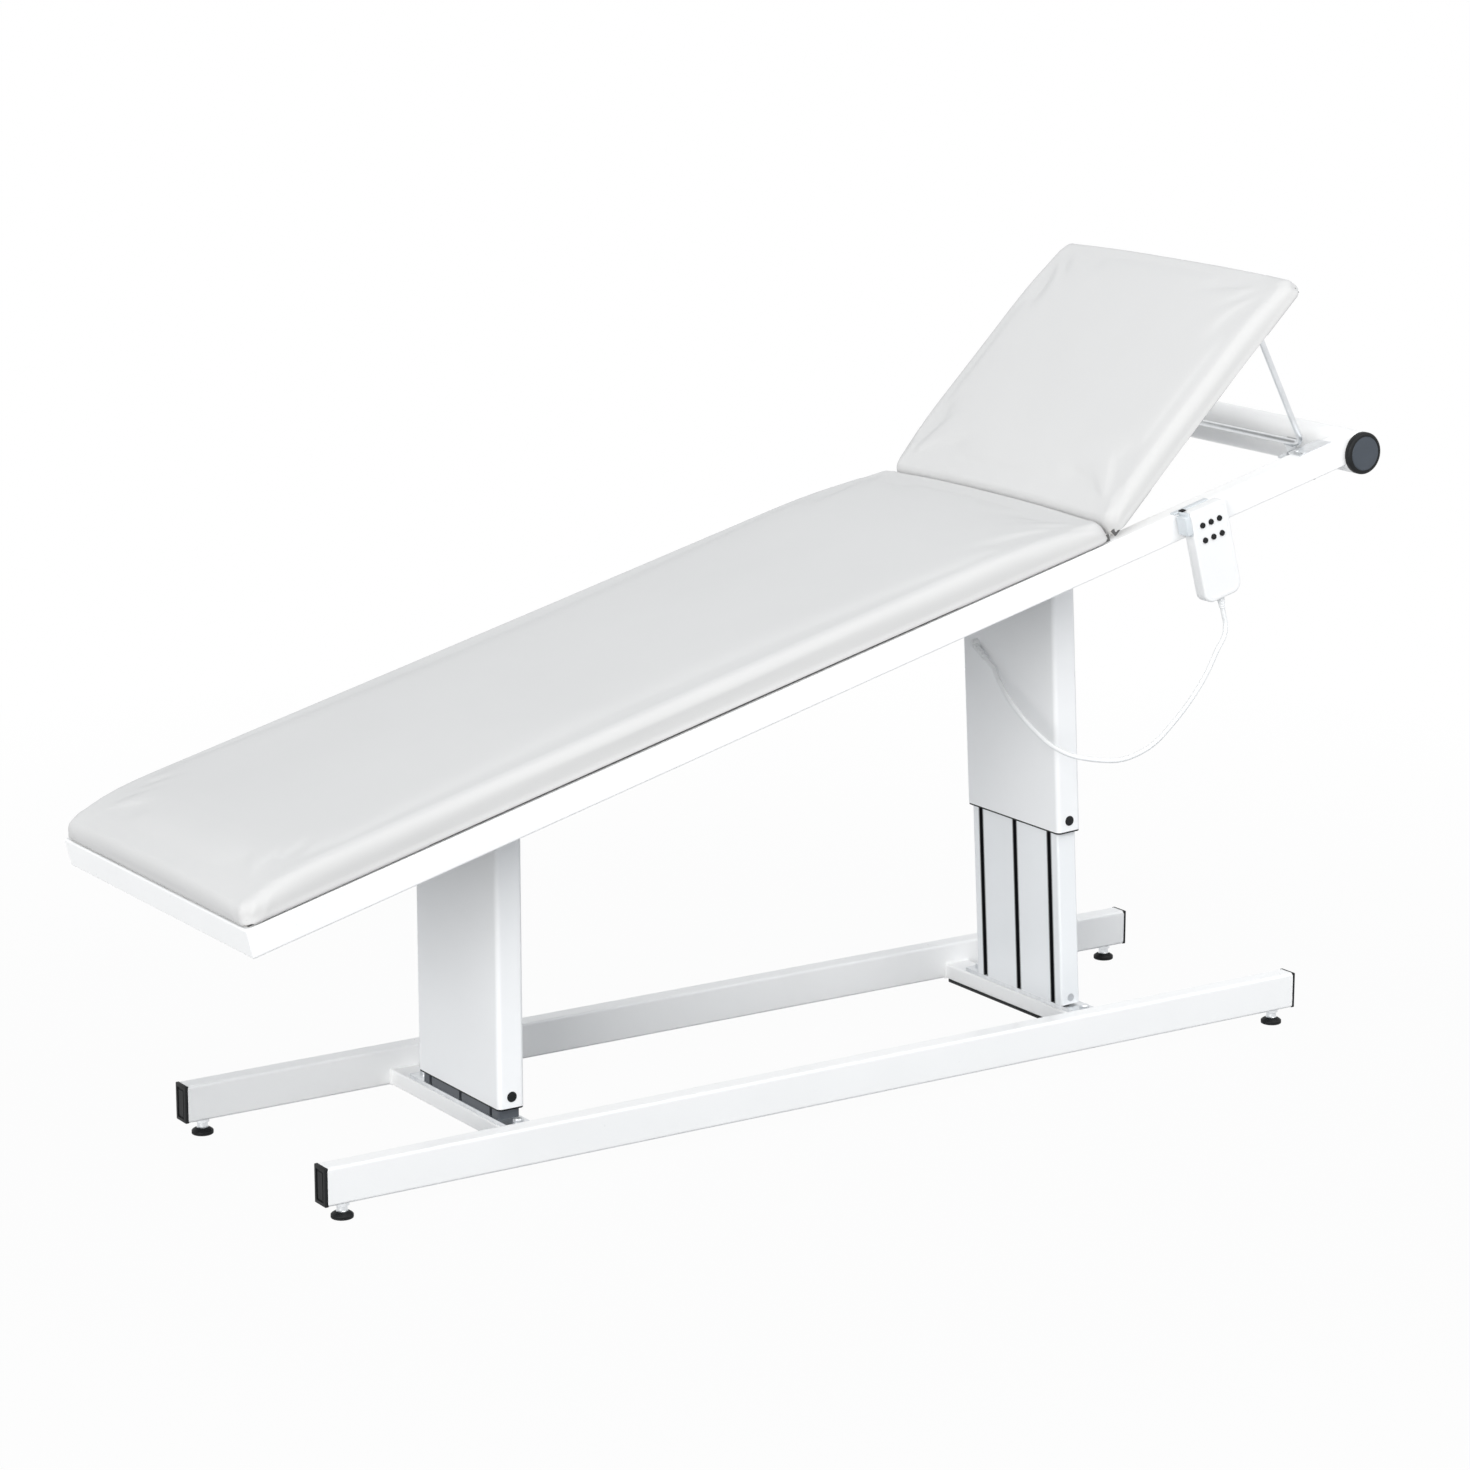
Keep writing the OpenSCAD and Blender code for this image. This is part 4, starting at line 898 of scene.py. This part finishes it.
class TABLE_OT_handset(bpy.types.Operator):
    """Shells, holder and six buttons of the handset."""

    bl_idname = "table.handset"
    bl_label = "Handset"

    def execute(self, context):
        sizes = context.scene.table_sizes
        back = self.shell("handset_back_shell", sizes, 0, 6.8)
        pick(back, "EDGE", lambda a, b: a.z < 0.1 * MM and b.z < 0.1 * MM)
        bpy.ops.mesh.bevel(offset=2 * MM, segments=4, affect="EDGES")
        smooth(put(back, HANDSET))
        dress(back, "top_frame", "handset_white", "handset_back")

        front = self.shell("handset_front_shell", sizes, 7.1, 22)
        pick(front, "EDGE", lambda a, b: a.z > 21.9 * MM and b.z > 21.9 * MM)
        bpy.ops.mesh.bevel(offset=3 * MM, segments=5, affect="EDGES")
        pick(front, "FACE", lambda middle, normal: middle.z > 21.9 * MM and normal.z > 0.99)
        bpy.ops.mesh.inset(thickness=3.5 * MM)
        bpy.ops.mesh.extrude_region_move(TRANSFORM_OT_translate={"value": (0, 0, -0.4 * MM)})
        bpy.ops.mesh.select_all(action="SELECT")
        bpy.ops.mesh.normals_make_consistent(inside=False)
        deselect()
        radius = sizes.button_diameter / 2 / MM
        spots = [(15.7 * col, -24.5 - 23 * row) for row in (0, 1) for col in (-1, 0, 1)]
        wells = []
        for x, y in spots:
            well = turned("well", (
                (radius + 0.1, 14), (radius + 0.1, 21), (radius + 0.9, 21.7), (radius + 0.9, 30)), 32)
            wells.append(put(well, at(x * MM, y * MM, 0)))
        wells = joined("wells", wells)
        modify(front, "BOOLEAN", object=wells, operation="DIFFERENCE", solver="EXACT")
        bpy.data.objects.remove(wells)
        smooth(put(front, HANDSET))
        dress(front, "top_frame", "handset_white", "handset_shell")

        for number, (x, y) in enumerate(spots, 1):
            button = turned(f"button_cap_{number}", (
                (radius, 17), (radius, 23.1), (radius - 0.15, 23.5), (radius - 0.55, 23.85),
                (radius - 1.2, 24), (radius - 1.9, 23.9), (radius - 2.8, 23.7)), 32)
            put(button, HANDSET @ at(x * MM, y * MM, 0))
            dress(button, f"button_{number}", "black_plastic", f"button_{number}")

        holder = eased("handset_hook", "handset_holder", 0.6)
        dress(holder, "top_frame", "holder_grey", "handset_hook")
        cheek = block("cheek", (-44.4, -31.4, 0.4), (-36.2, -3.6, 20.4), 1.2)
        lip = block("lip", (-44.0, -31, 20.3), (-34.8, -4, 22.2), 0.7)
        cheek = put(joined("handset_cheek", [cheek, lip]), HANDSET)
        dress(cheek, "top_frame", "holder_grey")
        stop = block("handset_grip", (-37, 1.2, -1), (-29, 2.9, 8), 0.5)
        dress(put(stop, HANDSET), "top_frame", "black_plastic")
        return {"FINISHED"}

    def shell(self, name, sizes, low, high):
        """A plate with the handset's rounded outline."""
        deselect()
        middle = -sizes.handset_height / 2
        bpy.ops.mesh.primitive_plane_add(size=1, location=(0, middle, low * MM))
        piece = bpy.context.object
        piece.name = name
        piece.scale = (sizes.handset_width, sizes.handset_height, 1)
        settle(piece)
        pick(piece, "VERT", lambda p: p.y > middle)
        bpy.ops.mesh.bevel(offset=8 * MM, segments=8, affect="VERTICES")
        pick(piece, "VERT", lambda p: p.y < middle)
        bpy.ops.mesh.bevel(offset=16 * MM, segments=10, affect="VERTICES")
        bpy.ops.mesh.select_all(action="SELECT")
        bpy.ops.mesh.extrude_region_move(
            TRANSFORM_OT_translate={"value": (0, 0, (high - low) * MM)})
        bpy.ops.mesh.select_all(action="SELECT")
        bpy.ops.mesh.normals_make_consistent(inside=False)
        bpy.ops.object.mode_set(mode="OBJECT")
        return piece


class TABLE_OT_feet(bpy.types.Operator):
    """Four levelling feet with their lock nuts."""

    bl_idname = "table.feet"
    bl_label = "Levelling feet"

    def execute(self, context):
        for number in (1, 2, 3, 4):
            node = f"levelling_foot_{number}"
            low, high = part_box(node)
            place = at((low.x + high.x) / 2, (low.y + high.y) / 2, 0)
            pad = turned("pad", (
                (14.6, 0), (15.3, 0.5), (15.5, 1.2), (15.5, 3.0), (14.9, 3.3), (14.9, 3.9),
                (15.5, 4.2), (15.4, 5.0), (14.2, 6.2), (11.2, 8.2), (8.4, 9.8), (7.5, 11),
                (7.5, 16.7)))
            nut = turned("nut", (
                (9.0, 16.7), (9.8, 17.2), (9.8, 22.1), (9.2, 22.6)), 6)
            steps = [(5, 20)]
            for turn in range(25):
                height = 22.7 + turn * 1.4
                steps += [(5, height), (4.6, height + 0.7)]
            stem = turned("stem", [*steps, (4.6, 58)], 20)
            piece = put(joined(f"foot_{number}_turned", [pad, nut, stem]), place)
            dress(piece, f"foot_{number}", "black_plastic", node)
            piece.data.materials.append(bpy.data.materials["zinc"])
            for face in piece.data.polygons:
                face.material_index = 1 if face.center.z > ZINC_FROM * MM else 0
        return {"FINISHED"}


class TABLE_OT_caps(bpy.types.Operator):
    """Caps of the floor rails and head tube, seats of the stay, and all plugs."""

    bl_idname = "table.caps"
    bl_label = "Caps and plugs"

    def execute(self, context):
        self.rail_ends()
        self.seats()
        self.tube_caps()
        self.rail_plugs()
        self.casing_plugs()
        return {"FINISHED"}

    def rail_ends(self):
        """The four end caps of the floor rails."""
        covers = []
        for node in ("near_floor_rail", "far_floor_rail"):
            low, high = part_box(node)
            middle = ((low.y + high.y) / 2, (low.z + high.z) / 2)
            covers.append(self.cover(Vector((low.x, *middle)), -90))
            covers.append(self.cover(Vector((high.x, *middle)), 90))
        ends = joined("rail_end_covers", covers)
        dress(ends, "base", "black_plastic", "rail_end_caps")

    def seats(self):
        """The stay's seats, their ends drawn back from the board that folds down there."""
        piece = eased("stay_seats", "stay_seats_cover", 0.25)
        along = np.array(TOP.col[0][:3])
        points = local_points(piece.data)
        reach = (points - np.array(TOP.translation)) @ along
        points[reach < SEAT_END + 0.0006] += SEAT_CLEARANCE * along
        set_points(piece.data, points)
        dress(piece, "top_frame", "zinc", "stay_seats")

    def tube_caps(self):
        """Grey caps on both ends of the head tube, their rounded rim painted black as painted shade
        on the bevel.
        """
        axis = TOP @ Vector((TUBE_END.x, 0, TUBE_END.z))
        for side, name in ((-1, "near"), (1, "far")):
            disc = turned(f"tube_cap_{name}", (
                (31.0, 0), (31.25, 0.4), (31.25, 5.6), (31.0, 6.8), (30.2, 8.2), (29.0, 9.2),
                (27.4, 9.8), (26.2, 10), (25.6, 9.9), (25.2, 9.2), (24.6, 9.2), (24.2, 9.7),
                (23.4, 9.8), (16, 10), (8, 10)), 72)
            put(disc, TOP @ at(TUBE_END.x, side * TUBE_END.y, TUBE_END.z)
                @ about("X", -90 * side))
            nodes = ["tube_caps"] if side == -1 else []
            dress(disc, "top_frame", "cap_grey", *nodes)
            # The rounded rim takes black plastic, as painted shade on its bevel
            disc.data.materials.append(bpy.data.materials["black_plastic"])
            for face in disc.data.polygons:
                away = face.center - axis
                rim = math.hypot(away.x, away.z) > CAP_SHADE_RADIUS * MM
                face.material_index = 1 if rim else 0

    def rail_plugs(self):
        """A black plug under each side rail, near the head end."""
        plugs = []
        for side in (-1, 1):
            plug = turned("rail_plug", (
                (2.9, -1.5), (4.4, -0.1), (4.5, 0.2), (4.5, 1.6), (4.1, 2.1), (3.7, 2.4),
                (3.5, 4.2), (3.1, 4.7), (2.4, 4.9)), 32)
            place = TOP @ at(RAIL_PLUG.x, side * RAIL_PLUG.y, RAIL_PLUG.z)
            plugs.append(put(plug, place @ about("X", 180)))
        piece = joined("rail_plug_caps", plugs)
        dress(piece, "top_frame", "black_plastic", "rail_plugs")

    def casing_plugs(self):
        """A black plug in each narrow face of both casings."""
        places = {
            "foot": ("foot_column", FOOT_COLUMN @ at(0, 0, 0.016)),
            "head": ("head_column", HEAD_COLUMN @ at(0, 0, 0.277)),
        }
        for name, (body, place) in places.items():
            plugs = []
            for side in (-1, 1):
                plug = turned("plug", (
                    (7.2, -2), (7.2, 0.05), (7.5, 0.1), (7.5, 0.6), (7.1, 1.0), (5.6, 1.35),
                    (3.2, 1.5)), 32)
                plugs.append(put(
                    plug, place @ at(0, side * CASING_SIDE * MM, 0) @ about("X", -90 * side)))
            piece = joined(f"{name}_casing_buttons", plugs)
            dress(piece, body, "black_plastic", f"{name}_casing_plugs")

    def cover(self, place, turn):
        """End cover of a floor rail, with a sunk panel and a raised rib in it."""
        piece = block("cover", (-27, -15, -2), (27, 15, 3.6), 1.1)
        for inset, sink in ((4, -1.6), (3.2, 0.9)):
            pick(piece, "FACE", lambda middle, normal: normal.z > 0.99 and
                 abs(middle.x) < 1 * MM and abs(middle.y) < 1 * MM)
            bpy.ops.mesh.inset(thickness=inset * MM)
            bpy.ops.mesh.extrude_region_move(
                TRANSFORM_OT_translate={"value": (0, 0, sink * MM)})
        outwards(piece)
        smooth(piece)
        return put(piece, at(*place) @ about("Y", turn))


class TABLE_OT_fasteners(bpy.types.Operator):
    """Bolts and washers of the base plates, and a black strip under the head crossmember as painted
    shade along its lower edge.
    """

    bl_idname = "table.fasteners"
    bl_label = "Bolts and channel"

    def execute(self, context):
        bolts = []
        for node in ("foot_base_plate", "head_pivot_bracket"):
            low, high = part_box(node)
            middle = (low.x + high.x) / 2
            if node == "foot_base_plate":
                middle = FOOT_COLUMN_X
            for y in (-BOLT_Y, BOLT_Y):
                washer = turned("washer", ((7.8, 52), (8, 52.2), (8, 53.3), (7.8, 53.5)), 32)
                head = turned("head", (
                    (7.1, 53.5), (7.5, 53.8), (7.5, 57.9), (6.5, 59)), 6)
                for piece in (washer, head):
                    bolts.append(put(piece, at(middle, y * MM, 0)))
        piece = joined("base_plate_bolts", bolts)
        dress(piece, "base", "zinc", "base_bolts")
        low, high = (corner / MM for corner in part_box("head_crossmember"))
        # A black strip under the head crossmember's lower edge: painted shade for its shadow line
        shade_bar = block("crossmember_shade_strip", (low.x + 1, -160, low.z - 5),
                        (low.x + 12, 186, low.z + 0.5), 1.2)
        dress(shade_bar, "base", "black_plastic")
        return {"FINISHED"}


class TABLE_OT_welds(bpy.types.Operator):
    """Weld beads where the crossmembers meet the floor rails."""

    bl_idname = "table.welds"
    bl_label = "Welds"

    def execute(self, context):
        beads = []
        for node in ("foot_crossmember", "head_crossmember"):
            low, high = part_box(node)
            for side in (-1, 1):
                y = side * WELD_Y
                x0, x1, z0, z1 = (v / MM for v in (low.x, high.x, low.z, high.z))
                beads += [
                    self.bead(Vector((x0, y, z1)), Vector((x1, y, z1))),
                    self.bead(Vector((x0, y, z0)), Vector((x0, y, z1))),
                    self.bead(Vector((x1, y, z0)), Vector((x1, y, z1))),
                ]
        piece = joined("floor_frame_welds", beads)
        dress(piece, "base", "painted_white")
        return {"FINISHED"}

    def bead(self, start, end):
        """A rippled bead from one point to another."""
        length = (end - start).length
        count = max(6, round(length / 1.6))
        steps = [(0.8, -0.6)]
        for k in range(count + 1):
            steps.append((1.9 if k % 2 else 2.25, length * k / count))
        steps.append((0.8, length + 0.6))
        return put(turned("bead", steps, 10), aimed(start, end))


OPERATORS = (
    TABLE_OT_stage, TABLE_OT_finishes, TABLE_OT_cord, TABLE_OT_cushions, TABLE_OT_handset,
    TABLE_OT_feet, TABLE_OT_caps, TABLE_OT_fasteners, TABLE_OT_welds,
)


class TABLE_PT_panel(bpy.types.Panel):
    """Lists the table's pieces in the sidebar."""

    bl_label = "Examination table"
    bl_idname = "TABLE_PT_panel"
    bl_space_type = "VIEW_3D"
    bl_region_type = "UI"
    bl_category = "Table"

    def draw(self, context):
        for group in ("table_sizes", "table_colours", "table_stage"):
            settings = getattr(context.scene, group)
            column = self.layout.column(heading=group)
            for name in settings.__annotations__:
                column.prop(settings, name)
        for operator in OPERATORS:
            self.layout.operator(operator.bl_idname)


CLASSES = (TableSizes, TableColours, StageSettings, *OPERATORS, TABLE_PT_panel)


def register():
    """Adds the classes and the scene's settings."""
    for made in CLASSES:
        bpy.utils.register_class(made)
    bpy.types.Scene.table_sizes = PointerProperty(type=TableSizes)
    bpy.types.Scene.table_colours = PointerProperty(type=TableColours)
    bpy.types.Scene.table_stage = PointerProperty(type=StageSettings)


def unregister():
    """Takes the settings and the classes away."""
    del bpy.types.Scene.table_stage
    del bpy.types.Scene.table_colours
    del bpy.types.Scene.table_sizes
    for made in reversed(CLASSES):
        bpy.utils.unregister_class(made)


def main():
    """Builds everything in order."""
    register()
    bpy.ops.table.stage()
    bpy.ops.table.finishes()
    bpy.ops.table.cord()
    bpy.ops.table.cushions()
    bpy.ops.table.handset()
    bpy.ops.table.feet()
    bpy.ops.table.caps()
    bpy.ops.table.fasteners()
    bpy.ops.table.welds()
    deselect()


if __name__ == "__main__":
    main()
